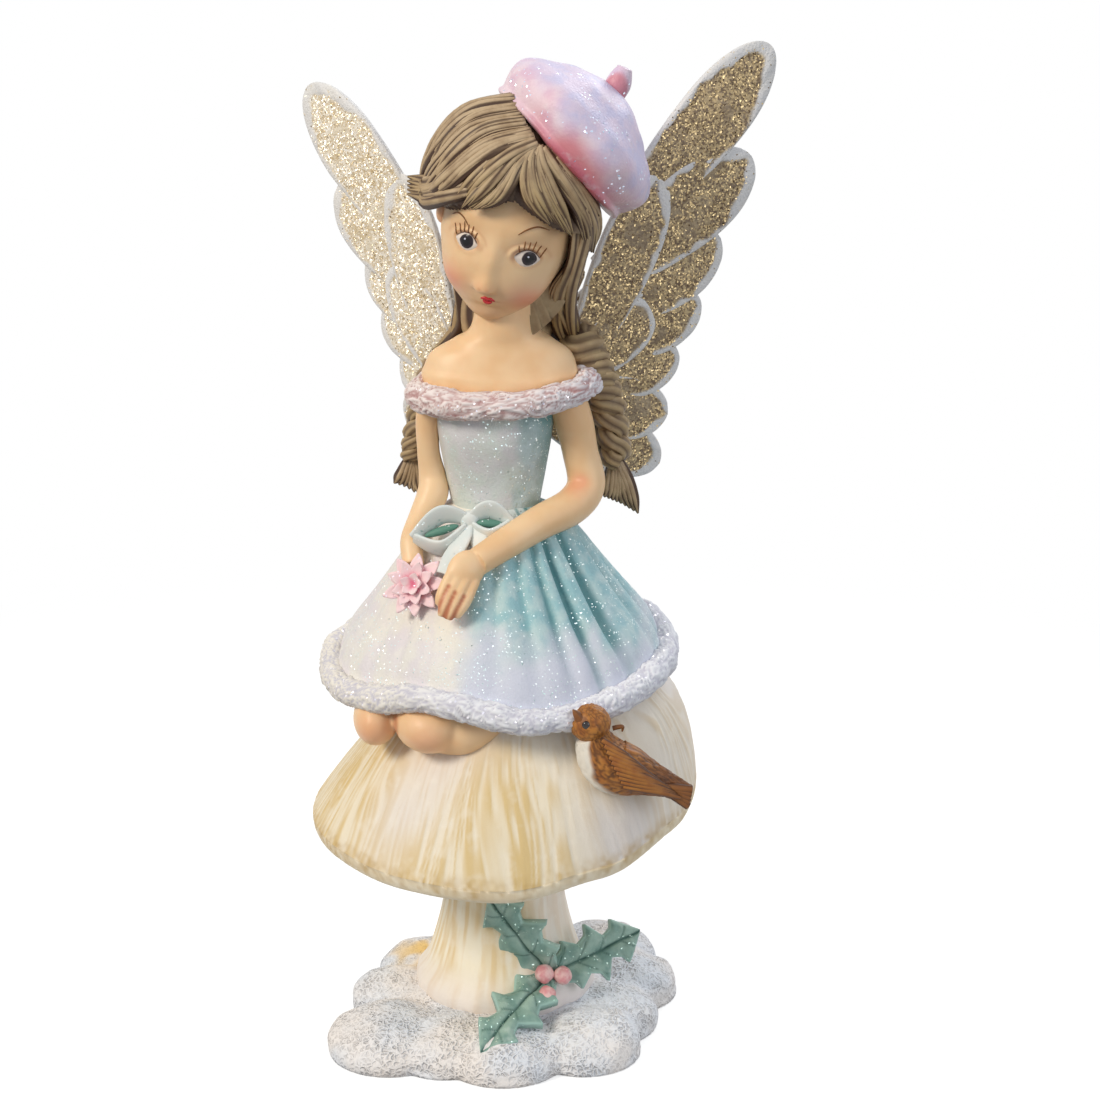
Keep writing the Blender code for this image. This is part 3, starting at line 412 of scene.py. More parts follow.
def add_node(tree, kind, inputs=None, **settings):
    """A shader node with its settings and its inputs, which go by name or number."""
    made = tree.nodes.new("ShaderNode" + kind)
    for name, value in settings.items():
        setattr(made, name, value)
    for name, value in (inputs or {}).items():
        feed(tree, made.inputs[name], value)
    return made


class Paint:
    """A material built node by node. Each method adds a node and returns its output."""

    def __init__(self, name, roughness=0.55, specular=0.35):
        self.material = bpy.data.materials.new(name)
        self.material.use_nodes = True
        self.tree = self.material.node_tree
        self.shader = self.tree.nodes["Principled BSDF"]
        self.shader.inputs["Roughness"].default_value = roughness
        self.shader.inputs["Specular IOR Level"].default_value = specular
        self.place = self.node("TexCoord").outputs["Object"]

    def node(self, kind, inputs=None, **settings):
        return add_node(self.tree, kind, inputs, **settings)

    def set(self, name, value):
        feed(self.tree, self.shader.inputs[name], value)

    def mark(self, name):
        return self.node("Attribute", attribute_name=name).outputs["Fac"]

    def lumps(self, size, detail=2.0):
        """Noise from 0 to 1 with lumps of about size millimetres."""
        return self.node("TexNoise", {"Vector": self.place, "Scale": 1000 / size, "Detail": detail}).outputs["Fac"]

    def step(self, value, low, high, to_low=0.0, to_high=1.0):
        inputs = {"Value": value, "From Min": low, "From Max": high, "To Min": to_low, "To Max": to_high}
        return self.node("MapRange", inputs, interpolation_type="SMOOTHSTEP").outputs["Result"]

    def mix(self, share, low, high):
        return self.node("Mix", {"Factor": share, 6: low, 7: high}, data_type="RGBA").outputs[2]

    def sum(self, how, a, b):
        return self.node("Math", {0: a, 1: b}, operation=how).outputs[0]

    def vector(self, how, **inputs):
        """A vector sum. Its inputs are named a, b, c and Scale."""
        numbered = {"abc".find(name) if name in "abc" else name: value for name, value in inputs.items()}
        return self.node("VectorMath", numbered, operation=how).outputs[0]

    def bump(self, height, depth, under=None):
        inputs = {"Height": height, "Strength": 1.0, "Distance": depth * MM}
        if under is not None:
            inputs["Normal"] = under
        return self.node("Bump", inputs).outputs["Normal"]

    def glitter(self, colour, size, share, flake, tilt=1.1, under=None):
        """Tilted bright flakes of about size millimetres over a share of the surface."""
        seeds = self.node("TexVoronoi", {"Vector": self.place, "Scale": 1000 / size}).outputs["Color"]
        parts = self.node("SeparateColor", {"Color": seeds})
        kept = self.sum("GREATER_THAN", parts.outputs[0], self.sum("SUBTRACT", 1.0, share))
        lean = self.vector("SUBTRACT", a=seeds, b=(0.5, 0.5, 0.5))
        lean = self.vector("SCALE", a=lean, Scale=self.sum("MULTIPLY", kept, tilt))
        base = under or self.node("NewGeometry").outputs["Normal"]
        self.set("Normal", self.vector("NORMALIZE", a=self.vector("ADD", a=base, b=lean)))
        self.set("Metallic", self.sum("MULTIPLY", kept, 0.75))
        roughness = self.shader.inputs["Roughness"].default_value
        self.set("Roughness", self.step(kept, 0.0, 1.0, roughness, 0.28))
        return self.mix(kept, colour, self.mix(parts.outputs[1], flake[0], flake[1]))

    def done(self, colour, normal=None):
        self.set("Base Color", colour)
        if normal is not None:
            self.set("Normal", normal)
        return self.material


# Snowy base

SNOW_LOBES = [
    (-23.2, -18.2, 13.4), (-12.0, -21.5, 11.2), (0.0, -23.0, 13.2), (16.2, -19.0, 12.4), (20.5, -6.5, 11.8),
    (25.0, 8.5, 12.0), (20.0, 20.5, 12.8), (4.0, 22.5, 12.5), (-16.0, 14.0, 12.0), (-22.8, 1.0, 9.8),
]


def snow_paint():
    """Rough snow: pits of a millimetre between crumbling ridges."""
    snow = Paint("snow_paint", roughness=0.8, specular=0.25)
    wobble = snow.node("TexNoise", {"Vector": snow.place, "Scale": 1000 / 1.8}).outputs["Color"]
    bent = snow.vector("MULTIPLY_ADD", a=wobble, b=(1.5 * MM, 1.5 * MM, 1.5 * MM), c=snow.place)
    cracks = snow.node("TexVoronoi", {"Vector": bent, "Scale": 1000 / 1.05}, feature="DISTANCE_TO_EDGE")
    pit = snow.step(cracks.outputs["Distance"], 0.02, 0.42)
    patchy = snow.sum("MULTIPLY", pit, snow.step(snow.lumps(5.0), 0.35, 0.65, 0.45, 1.0))
    white = snow.mix(snow.step(snow.lumps(14.0), 0.35, 0.65), tint(240, 234, 230), tint(228, 232, 239))
    # Grey in the pits, patchy over the snow: painted shade in the pits.
    colour = snow.mix(snow.sum("MULTIPLY", patchy, 0.36), white, tint(176, 170, 170))
    colour = snow.mix(snow.mark("ochre"), colour, tint(236, 200, 130))
    rough = snow.bump(snow.lumps(0.45, 3.0), 0.10)
    return snow.done(colour, snow.bump(snow.sum("SUBTRACT", 1.0, patchy), 0.42, rough))


def make_base():
    lobes = [ball((0, 0, 2.0), (28.0, 28.0, SNOW_HEIGHT - 1.0))]
    for x, y, radius in SNOW_LOBES:
        lobes.append(ball((x, y, 2.3), (radius, radius, SNOW_HEIGHT - 2.3)))
    shape = fuse(lobes, 0.60, 4)
    points = shape.points
    points[:, 2] = np.where(points[:, 2] < 0.45, 0.15, points[:, 2])
    lift = smooth(points[:, 2], 0.3, 1.5)
    swell = 0.7 * noise(points, 8.0, 5) + 0.30 * noise(points, 2.6, 6)
    shape.points = points + normals_of(shape) * ((swell - 0.50) * lift)[:, None]
    ochre = bump_at(points[:, 0], points[:, 1], -17.0, 12.0, 7.0, 6.0, 1.0) * smooth(points[:, 2], 4.5, 7.5)
    shape.marks = {"ochre": ochre * smooth(noise(points, 3.0, 8), -0.5, 0.3)}
    piece("snow_base", shape, snow_paint())


# Toadstool

def rim_rise(angle):
    """How far the cap's wavy rim stands above its mean height, as a share of the cap's radius."""
    knots = np.array(CAP_RIM_RISE)
    place = (angle / (2 * np.pi) % 1.0) * len(knots)
    k = place.astype(int)
    ease = 0.5 - 0.5 * np.cos(np.pi * (place - k))
    return knots[k % len(knots)] * (1 - ease) + knots[(k + 1) % len(knots)] * ease


def cap_place(x, y, z):
    """A place on the upright cap, moved to where the cap with its wavy rim and shifted crown has it."""
    angle = np.arctan2(y, x)
    reach = np.minimum(1.0, np.hypot(x, y) / CAP_RADIUS)
    rim = CAP_RADIUS * rim_rise(angle)
    fall = reach ** (CAP_FULLNESS + 0.7 * np.cos(angle))
    over = CAP_DOME_HEIGHT + (rim - CAP_DOME_HEIGHT) * fall
    height = np.where(z > 0, over, z + rim * reach)
    shift = np.where(z > 0, CAP_CROWN_SHIFT * (1 - fall), 0.0)
    return np.stack([x + shift, y, CAP_RIM_HEIGHT + height], axis=-1)


def mushroom_paint(name, light, streak, pale):
    cap = Paint(name, roughness=0.62, specular=0.3)
    colour = cap.mix(cap.step(cap.mark("streak"), 0.35, 0.75), light, streak)
    colour = cap.mix(cap.mark("pale"), colour, pale)
    colour = cap.mix(cap.mark("rim"), colour, tint(190, 158, 100))
    colour = cap.mix(cap.step(cap.lumps(3.5), 0.5, 0.75, 0.0, 0.30), colour, tint(246, 240, 228))
    return cap.done(colour, cap.bump(cap.lumps(0.6, 3.0), 0.05))


def make_cap():
    slope = 1 - np.linspace(1, 0, 60) ** 1.7
    over = np.column_stack([slope, 1.001 - slope ** CAP_FULLNESS])
    over[0, 0] = 0.001
    under = [
        (CAP_RADIUS, 0.0), (CAP_RADIUS - 0.1 * CAP_LIP, -0.7 * CAP_LIP),
        (CAP_RADIUS - 0.8 * CAP_LIP, -CAP_LIP),
        (0.5 * (CAP_RADIUS + STEM_RADIUS), -0.1 * CAP_LIP), (STEM_RADIUS, -0.05 * CAP_LIP),
        (0.1, -0.05 * CAP_LIP),
    ]
    line = np.vstack([over * (CAP_RADIUS, CAP_DOME_HEIGHT), spline(under, 16)])
    rows, cols = len(line), 600
    angle = ring_angles(cols)
    radius = line[:, :1] * np.ones(cols)
    reach = radius / CAP_RADIUS
    ring = together(9 * np.cos(angle), 9 * np.sin(angle), 6 * reach)
    bend = angle + 0.60 * (1 - reach) + 0.12 * noise(ring, 2.2, 25)
    strokes = together(40 * np.cos(bend), 40 * np.sin(bend), 9.0 * reach)
    fine = noise(strokes, 0.62, 21)
    middling = noise(strokes * (1, 1, 0.9), 1.5, 23)
    broad = noise(strokes * (1, 1, 1.3), 7.0, 22)
    streak = 0.5 + 0.28 * fine + 0.20 * middling + 0.16 * broad
    upper = (np.arange(rows)[:, None] < len(over)) * np.ones(cols)
    carve = (0.13 * fine + 0.09 * middling) * smooth(reach, 0.35, 0.6) * (0.4 + 0.6 * upper)
    level = np.where(upper > 0, 1.0, line[:, 1:] * np.ones(cols))
    points = cap_place(radius * np.cos(angle), radius * np.sin(angle), level)
    points = points + np.stack([np.cos(angle) * carve, np.sin(angle) * carve, 0.8 * carve * upper], axis=-1)
    x, y = points[..., 0], points[..., 1]
    patch = noise(points, 9.0, 4)
    pale = bump_at(x, y, -17.0, -26.0, 6.5, 4.5, 1.0) + bump_at(x, y, 22.0, -31.0, 7.0, 4.0, 0.9)
    pale += (1 - smooth(reach, 0.50, 0.85)) * 0.9 + 0.65 * smooth(x + 4 * patch, 20.0, 34.0)
    edge = smooth(reach, 0.972, 1.0) * (1 - 0.5 * smooth(-level, 1.5, 3.0))
    speck = noise(points, 0.9, 27)
    marks = {
        "streak": np.where(upper > 0, streak, 0.35 + 0.15 * fine),
        "pale": np.clip(pale, 0, 1) * (0.75 + 0.25 * patch) * upper,
        "rim": np.clip(edge * (0.32 + 0.45 * speck + 0.25 * middling + 0.25 * patch), 0, 0.8),
    }
    paint = mushroom_paint("cap_paint", tint(239, 227, 202), tint(220, 193, 138), tint(231, 224, 220))
    piece("toadstool_cap", grid(points, marks), paint)


def make_stem():
    profile = [
        (STEM_RADIUS * 1.04, CAP_RIM_HEIGHT + 3.0), (STEM_RADIUS * 0.98, 0.72 * CAP_RIM_HEIGHT),
        (STEM_RADIUS, 0.52 * CAP_RIM_HEIGHT), (0.5 * (STEM_RADIUS + STEM_FOOT_RADIUS), 14.5),
        (STEM_FOOT_RADIUS, SNOW_HEIGHT + 0.6), (STEM_FOOT_RADIUS * 0.97, SNOW_HEIGHT - 2.5),
        (STEM_FOOT_RADIUS * 0.8, 4.0),
    ]
    rows, cols = 60, 200
    line = spline(profile, rows)
    angle = ring_angles(cols)
    around = together(12 * np.cos(angle), 12 * np.sin(angle), line[:, 1:] * 0.10)
    streak = 0.5 + 0.5 * fractal(around, 0.9, 3, 31)
    ribs = fractal(around, 4.0, 2, 35)
    radius = line[:, :1] + 0.30 * (streak - 0.5) + 0.60 * ribs
    points = np.dstack([radius * np.cos(angle), radius * np.sin(angle), line[:, 1:] * np.ones(cols)])
    foot = 1 - smooth(line[:, 1:], 9.0, 17.0)
    shaded = smooth(points[..., 0], 0.0, 10.0)
    marks = {
        "streak": streak, "pale": np.clip(foot * 0.7 + 0.6 * shaded, 0, 1), "rim": np.zeros((rows, cols)),
    }
    paint = mushroom_paint("stem_paint", tint(243, 234, 212), tint(228, 204, 160), tint(232, 222, 218))
    piece("toadstool_stem", grid(points, marks), paint)


# Dress

HEM = [
    (32.6, -3.0, 0.6), (31.2, 10.0, 2.5), (25.0, 22.0, 3.0), (8.0, 28.5, 1.5), (-10.0, 28.5, 1.0),
    (-25.0, 22.0, 0.0),
    (-33.4, 11.0, -1.6), (-34.6, -2.5, -2.6), (-30.9, -13.5, -3.1), (-24.1, -20.5, -2.2),
    (-15.9, -26.5, 0.2),
    (-7.0, -30.5, -0.4), (3.6, -32.5, -2.4), (12.5, -30.2, -2.5), (21.1, -24.5, -1.5), (28.2, -16.5, 0.0),
]


def dress_paint(name, pale, deep):
    """Glitter varnish over paint that runs from cream through aqua to lilac, with deep teal painted shade in the
    folds and on the right side.
    """
    dress = Paint(name, roughness=0.5, specular=0.4)
    cream = dress.mix(dress.step(dress.lumps(5.0, 3.0), 0.35, 0.65), pale, tint(228, 220, 220))
    aqua = dress.mix(dress.step(dress.lumps(3.0, 4.0), 0.38, 0.66), deep, tint(182, 208, 210))
    colour = dress.mix(dress.mark("aqua"), cream, aqua)
    colour = dress.mix(dress.mark("lilac"), colour, tint(210, 213, 228))
    # Deep teal: painted shade in the folds and on the right side.
    colour = dress.mix(dress.mark("fold"), colour, tint(74, 134, 138))
    base = dress.bump(dress.lumps(0.5, 3.0), 0.12)
    share = dress.step(dress.lumps(7.0), 0.35, 0.7, 0.01, 0.06)
    colour = dress.glitter(colour, 0.24, share, (tint(244, 250, 250), tint(205, 232, 230)), tilt=0.9,
        under=base)
    return dress.done(colour)


def fold_depth(angle):
    """How far the skirt's gathers cut in at each direction, shallow over the thighs and nowhere quite alike."""
    thighs = np.exp(-((np.degrees(angle) % 360 - 235.0) / 42.0) ** 2)
    ring = together(3 * np.cos(angle), 3 * np.sin(angle), 0.0)
    odd = noise(ring, 0.55, 17)
    slow = noise(ring, 1.2, 19)
    wave = 0.5 - 0.5 * np.cos(SKIRT_FOLDS * angle + 1.6 * odd + 1.4 * slow)
    return FOLD_DEPTH * wave ** 1.5 * (1.0 + 0.8 * odd) * (1 - 0.85 * thighs), thighs


def make_skirt(paint):
    rows, cols = 90, 360
    angle = ring_angles(cols)
    hem = spline([on_crown(*p) for p in HEM], cols, closed=True)
    waist = np.stack([-1.5 + WAIST_RADIUS * np.cos(angle), 1.0 + 0.8 * WAIST_RADIUS * np.sin(angle)],
        axis=-1)
    bell = [(-0.045, 0.0), (0.06, 0.20), (0.17, 0.30), (0.36, 0.46), (0.58, 0.66), (0.80, 0.87),
        (1.0, 0.985)]
    line = spline(bell, rows)
    down, out = line[:, :1], line[:, 1:]
    level = CROWN + WAIST_HEIGHT + (hem[:, 2] - CROWN - WAIST_HEIGHT) * down
    flat = waist[None] + (hem[None, :, :2] - waist[None]) * out[..., None]
    sway = angle + 0.06 * np.sin(3 * angle + 1.0) * down
    valley, thighs = fold_depth(sway)
    valley = valley * (1 - 0.35 * smooth(down, 0.5, 1.0))
    creases = noise(together(14 * np.cos(angle), 14 * np.sin(angle), 2 * down), 0.9, 14)
    creases = creases * (1 - smooth(down, 0.2, 0.6)) * (1 - 0.5 * thighs)
    puff = np.sin(0.5 * np.pi * np.clip(3 * down, 0, 1)) * (1 - np.clip(down, 0, 1) ** 6)
    offset = puff * (0.5 * FOLD_DEPTH - valley + 0.35 * creases)
    ahead = np.stack([np.cos(angle), np.sin(angle)], axis=-1)
    flat = flat + ahead * offset[..., None]
    points = np.dstack([flat, level])
    rough = noise(points, 1.4, 12)
    points[..., :2] += ahead * (0.05 * rough)[..., None]
    under = points[-1] * np.array([0.62, 0.62, 1.0]) - np.array([0, 0, 9.5])
    points = np.vstack([points, under[None]])
    x, z = points[..., 0], points[..., 2] - CROWN
    blur = 2.0 * noise(points, 5.0, 15)
    drips = noise(points * (1, 1, 0.25), 2.6, 16)
    right = smooth(x + 0.6 * blur - 0.10 * (z - 10), -9.0, -4.5)
    low = 1 - smooth(z + 0.10 * x + 1.2 * blur + 4.0 * drips, 3.0, 16.0)
    valley = np.vstack([valley, valley[-1:]])
    high = smooth(z, 24.0, 30.0) * (1 - smooth(x, 2.0, 7.0))
    marks = {
        "aqua": right * (1 - 0.55 * low) * (1 - 0.6 * high),
        "lilac": low * (0.20 + 0.75 * right),
        # Deep teal in the fold valleys, stronger on the right side and fainter near the hem: painted shade.
        "fold": smooth(valley - 0.25 * np.vstack([creases, creases[-1:]]), 0.55,
        2.0) * (0.12 + 0.70 * right) * (1 - 0.8 * low),
    }
    piece("skirt", grid(points, marks), paint)


def make_bodice(paint):
    stations = [
        (WAIST_HEIGHT - 4.0, 1.08 * WAIST_RADIUS, 0.90 * WAIST_RADIUS),
        (WAIST_HEIGHT, WAIST_RADIUS, 0.80 * WAIST_RADIUS),
        (39.0, 0.5 * (WAIST_RADIUS + BUST_RADIUS), 0.82 * WAIST_RADIUS),
        (BUST_HEIGHT, BUST_RADIUS, 0.78 * BUST_RADIUS),
        (COLLAR_HEIGHT, 1.05 * BUST_RADIUS, 0.70 * BUST_RADIUS),
    ]
    rows, cols = 56, 120
    line = spline(stations, rows)
    angle = ring_angles(cols)
    points = np.dstack([
        -1.5 + line[:, 1:2] * np.cos(angle), 0.6 + line[:, 2:3] * np.sin(angle),
        CROWN + line[:, :1] * np.ones(cols),
    ])
    creases = noise(points * np.array([1.0, 1.0, 0.5]), 2.6, 18)
    points[..., 1] += 0.20 * creases
    x = points[..., 0]
    top = smooth(line[:, :1], 48.0, 52.0)
    marks = {
        # A little aqua all over, and more towards the right side: painted shade on the right.
        "aqua": np.clip(0.22 + 0.60 * smooth(x + 2.0 * creases, 1.5, 5.0), 0, 1),
        "lilac": 0.12 * np.ones((rows, cols)),
        # Deep teal on the right side and near the top on the right: painted shade.
        "fold": np.clip(0.55 * smooth(x, 6.0, 9.0) + 0.45 * top * smooth(x, 1.0, 5.0), 0, 0.8),
    }
    piece("bodice", grid(points, marks), paint)


# Fur

def fur_paint(name, light, shade, warm):
    fur = Paint(name, roughness=0.75, specular=0.25)
    # Warmer towards the left side: painted warm light.
    colour = fur.mix(fur.mark("warm"), light, warm)
    # Darker in the grooves: painted shade.
    colour = fur.mix(fur.mark("groove"), colour, shade)
    colour = fur.glitter(colour, 0.34, 0.02, (tint(255, 250, 250), tint(232, 232, 248)), tilt=0.6)
    return fur.done(colour)


def fur_roll(knots, radii, rows, sides, painted_light_side, seed, slant, depth, tuft_size):
    """A closed roll of fur, carved with long fine grooves that wander along it."""
    line = spline(np.column_stack([knots, radii]), rows, closed=True)
    route, radius = line[:, :3], line[:, 3]
    ahead = np.roll(route, -1, 0) - np.roll(route, 1, 0)
    ahead /= np.linalg.norm(ahead, axis=1)[:, None]
    side = np.cross(ahead, [0.0, 0.0, 1.0])
    side /= np.linalg.norm(side, axis=1)[:, None]
    normal = np.cross(side, ahead)
    angle = ring_angles(sides)
    length = np.linalg.norm(np.roll(route, -1, 0) - route, axis=1).sum()
    u = (np.arange(rows) / rows * length)[:, None]
    around = angle[None, :] * radius[:, None]
    skin = route[:, None] + side[:, None] * (radius[:, None] * np.cos(angle))[..., None]
    skin = skin + normal[:, None] * (radius[:, None] * np.sin(angle))[..., None]
    wander = noise(skin, 2.4, seed + 5)
    tuft = together((u + slant * around) / tuft_size[0], (around + 1.1 * wander) / tuft_size[1], 0.0)
    nearest, second, number = cells(tuft, seed)
    gap = second - nearest
    lump = noise(skin, 3.6, seed + 2)
    ridge = smooth(gap, 0.0, 0.45)
    reach = radius[:, None] + depth * (ridge * (0.7 + 0.5 * number) - 0.7) + 0.36 * lump
    points = route[:, None] + side[:, None] * (reach * np.cos(angle))[..., None]
    points = points + normal[:, None] * (reach * np.sin(angle))[..., None]
    # Warmth towards the left side is painted warm light; the dark grooves are painted shade.
    warm = smooth(-points[..., 0], painted_light_side[0], painted_light_side[1])
    marks = {"groove": (1 - smooth(gap, 0.02, 0.24)) * (0.45 + 0.55 * number), "warm": warm}
    return grid(points, marks, loop_rows=True)


def make_fur():
    hem_radii = [0.5 * HEM_THICKNESS * (1 + 0.06 * math.sin(2.3 * i)) for i in range(len(HEM))]
    hem = fur_roll([on_crown(*p) for p in HEM], hem_radii, 880, 48, (5.0, 30.0), 41, 0.8, 0.36, (4.2, 0.62))
    # Hem: white, grey-lilac painted shade in the grooves and cream painted warm light on the left.
    piece("hem_fur", hem, fur_paint("hem_paint", tint(236, 237, 242), tint(196, 194, 208),
        tint(240, 235, 226)))
    knots = []
    radii = []
    for i in range(12):
        angle = 2 * math.pi * i / 12
        height = COLLAR_HEIGHT + 0.3 + 1.0 * math.sin(angle) + 0.9 * math.cos(angle)
        knots.append(on_crown(COLLAR_HALF_WIDTH * math.cos(angle), COLLAR_HALF_DEPTH * math.sin(angle),
            height))
        radii.append(0.5 * COLLAR_THICKNESS * (1 + 0.06 * math.sin(2.7 * i)))
    collar = fur_roll(knots, radii, 460, 56, (-30.0, 10.0), 47, 0.30, 0.44, (4.0, 0.72))
    # Collar: white, rose-brown painted shade in the grooves and pink painted warm light on the left.
    piece("collar_fur", collar, fur_paint("collar_paint", tint(238, 236, 242), tint(176, 128, 126),
        tint(243, 231, 228)))


# Skin

def skin_paint():
    skin = Paint("skin_paint", roughness=0.42, specular=0.4)
    colour = skin.mix(skin.step(skin.lumps(7.0), 0.35, 0.7), tint(244, 208, 164), tint(238, 196, 148))
    colour = skin.mix(skin.mark("blush"), colour, tint(232, 128, 104))
    # Reddish brown between the fingers and between the knees is painted shade; on the face it draws the lines
    # round the eyes, the nostrils and a line at the mouth's corner.
    colour = skin.mix(skin.mark("crease"), colour, tint(186, 104, 70))
    skin.shader.inputs["Subsurface Weight"].default_value = 0.12
    skin.shader.inputs["Subsurface Radius"].default_value = (0.0018, 0.0009, 0.0005)
    skin.shader.inputs["Subsurface Scale"].default_value = 1.0
    return skin.done(colour, skin.bump(skin.lumps(1.2, 2.0), 0.03))


FINGERS = [
    ((-8.8, -19.2, 25.2), (-10.8, -21.2, 21.8), (-11.8, -22.2, 19.5), (-12.1, -22.4, 18.0)),
    ((-7.8, -19.8, 24.0), (-10.0, -22.2, 20.3), (-11.2, -23.2, 17.8), (-11.7, -23.4, 16.1)),
    ((-6.6, -20.0, 23.0), (-8.5, -22.4, 19.7), (-9.8, -23.4, 17.0), (-10.4, -23.6, 15.5)),
    ((-5.2, -19.6, 22.2), (-6.9, -22.0, 18.9), (-8.1, -23.0, 17.2), (-8.9, -23.2, 15.8)),
]


def blush_at(points, spots):
    """Soft coloured spots: (centre, spread) pairs."""
    total = np.zeros(len(points))
    for centre, spread in spots:
        total += np.exp(-np.sum((points - centre) ** 2, axis=1) / (2 * spread ** 2))
    return np.clip(total, 0, 1)


def make_skin(paint):
    chest = [
        (COLLAR_HEIGHT - 5.0, -1.0, 0.95 * BUST_RADIUS, 0.66 * BUST_RADIUS),
        (COLLAR_HEIGHT + 2.0, -0.6, 15.2, 8.0),
        (COLLAR_HEIGHT + 4.9, -0.4, 15.0, 7.2), (SHOULDER_HEIGHT, -0.2, SHOULDER_HALF_WIDTH, 6.2),
        (SHOULDER_HEIGHT + 2.5, 0.2, 9.8, 5.6),
        (SHOULDER_HEIGHT + 5.5, 0.5, 1.12 * NECK_RADIUS, NECK_RADIUS),
        (SHOULDER_HEIGHT + 16.0, 1.0, NECK_RADIUS, NECK_RADIUS),
    ]
    line = spline(chest, 60)
    angle = ring_angles(64)
    torso = grid(np.dstack([
        line[:, 1:2] + line[:, 2:3] * np.cos(angle), 1.0 + line[:, 3:4] * np.sin(angle),
        CROWN + line[:, :1] * np.ones(64),
    ]))
    right = [
        on_crown(11.5, 0.5, 56.3), on_crown(14.0, 0.5, 49.0), on_crown(15.4, 0.5, 42.5),
        on_crown(16.6, -0.4, 36.0),
        on_crown(13.8, -4.0, 32.6), on_crown(7.4, -9.0, 30.6), on_crown(-0.4, -14.2, 27.2),
        on_crown(-4.8, -17.4, 25.2),
    ]
    left = [
        on_crown(-12.0, 0.5, COLLAR_HEIGHT + 1.0), on_crown(-14.7, 0.5, 50.0), on_crown(-14.8, 0.5, 42.8),
        on_crown(-14.1, 0.5, 37.6), on_crown(-14.0, -1.0, 34.2), on_crown(-16.3, -4.0, 30.0),
        on_crown(-18.0, -8.0, 26.4), on_crown(-17.5, -11.0, 22.5),
    ]
    parts = [torso, rod(right, ARM_RADIUS * np.array([1.0, 1.0, 0.92, 0.98, 0.96, 0.88, 0.78, 0.72]),
        100, 40)]
    parts.append(rod(left, ARM_RADIUS * np.array([0.87, 0.64, 0.58, 0.70, 0.80, 0.64, 0.58, 0.55]), 90, 40))
    palm_turn = turning((0, 1, 0), math.radians(42.0)) @ turning((1, 0, 0), math.radians(-24.0))
    parts.append(ball(on_crown(-7.0, -19.0, 24.0), (3.6, 2.1, 4.3), palm_turn))
    for finger in FINGERS:
        parts.append(rod([on_crown(*p) for p in finger], [1.15, 1.20, 1.12, 0.80], 30, 20))
    shape = fuse(parts, 0.28, 3, keep=0.36)
    points = shape.points
    spots = [
        (on_crown(14.4, -4.2, 35.6), 1.7), (on_crown(15.6, -3.4, 37.4), 1.1),
    ]
    # Reddish brown in the gaps between the fingers: painted shade.
    crease = np.zeros(len(points))
    for one, other in zip(FINGERS, FINGERS[1:]):
        route = spline([(on_crown(*a) + on_crown(*b)) / 2 for a, b in zip(one, other)], 40)[12:]
        route = route + np.array([0.0, -0.6, 0.3])
        gap = np.min(np.linalg.norm(points[:, None] - route[None, ::3], axis=2), axis=1)
        crease = np.maximum(crease, 1 - smooth(gap, 0.35, 0.95))
    shape.marks = {"blush": 0.42 * blush_at(points, spots), "crease": crease * 0.9}
    piece("arms_and_chest", shape, paint)
    legs = [
        ball(on_crown(-25.2, -15.0, -8.0), (4.6, 8.0, 5.4)),
        ball(on_crown(-14.0, -20.5, -6.8), (7.4, 9.0, 6.0)),
        rod([on_crown(-12.5, -22.0, -8.0), on_crown(-7.5, -23.4, -8.2), on_crown(-1.0, -21.6, -7.2)],
        [4.6, 4.3, 2.6], 40, 32),
    ]
    knees = fuse(legs, 0.50, 2)
    knees.marks = {
        "blush": 0.30 * blush_at(knees.points,
        [(on_crown(-26.0, -22.0, -9.0), 3.0), (on_crown(-15.0, -29.0, -8.5), 3.0)]),
        # A dark line where the knees meet: painted shade.
        "crease": 0.6 * (1 - smooth(np.abs(knees.points[:, 0] + 21.0), 0.1, 1.0)),
    }
    piece("knees", knees, paint)


# Head

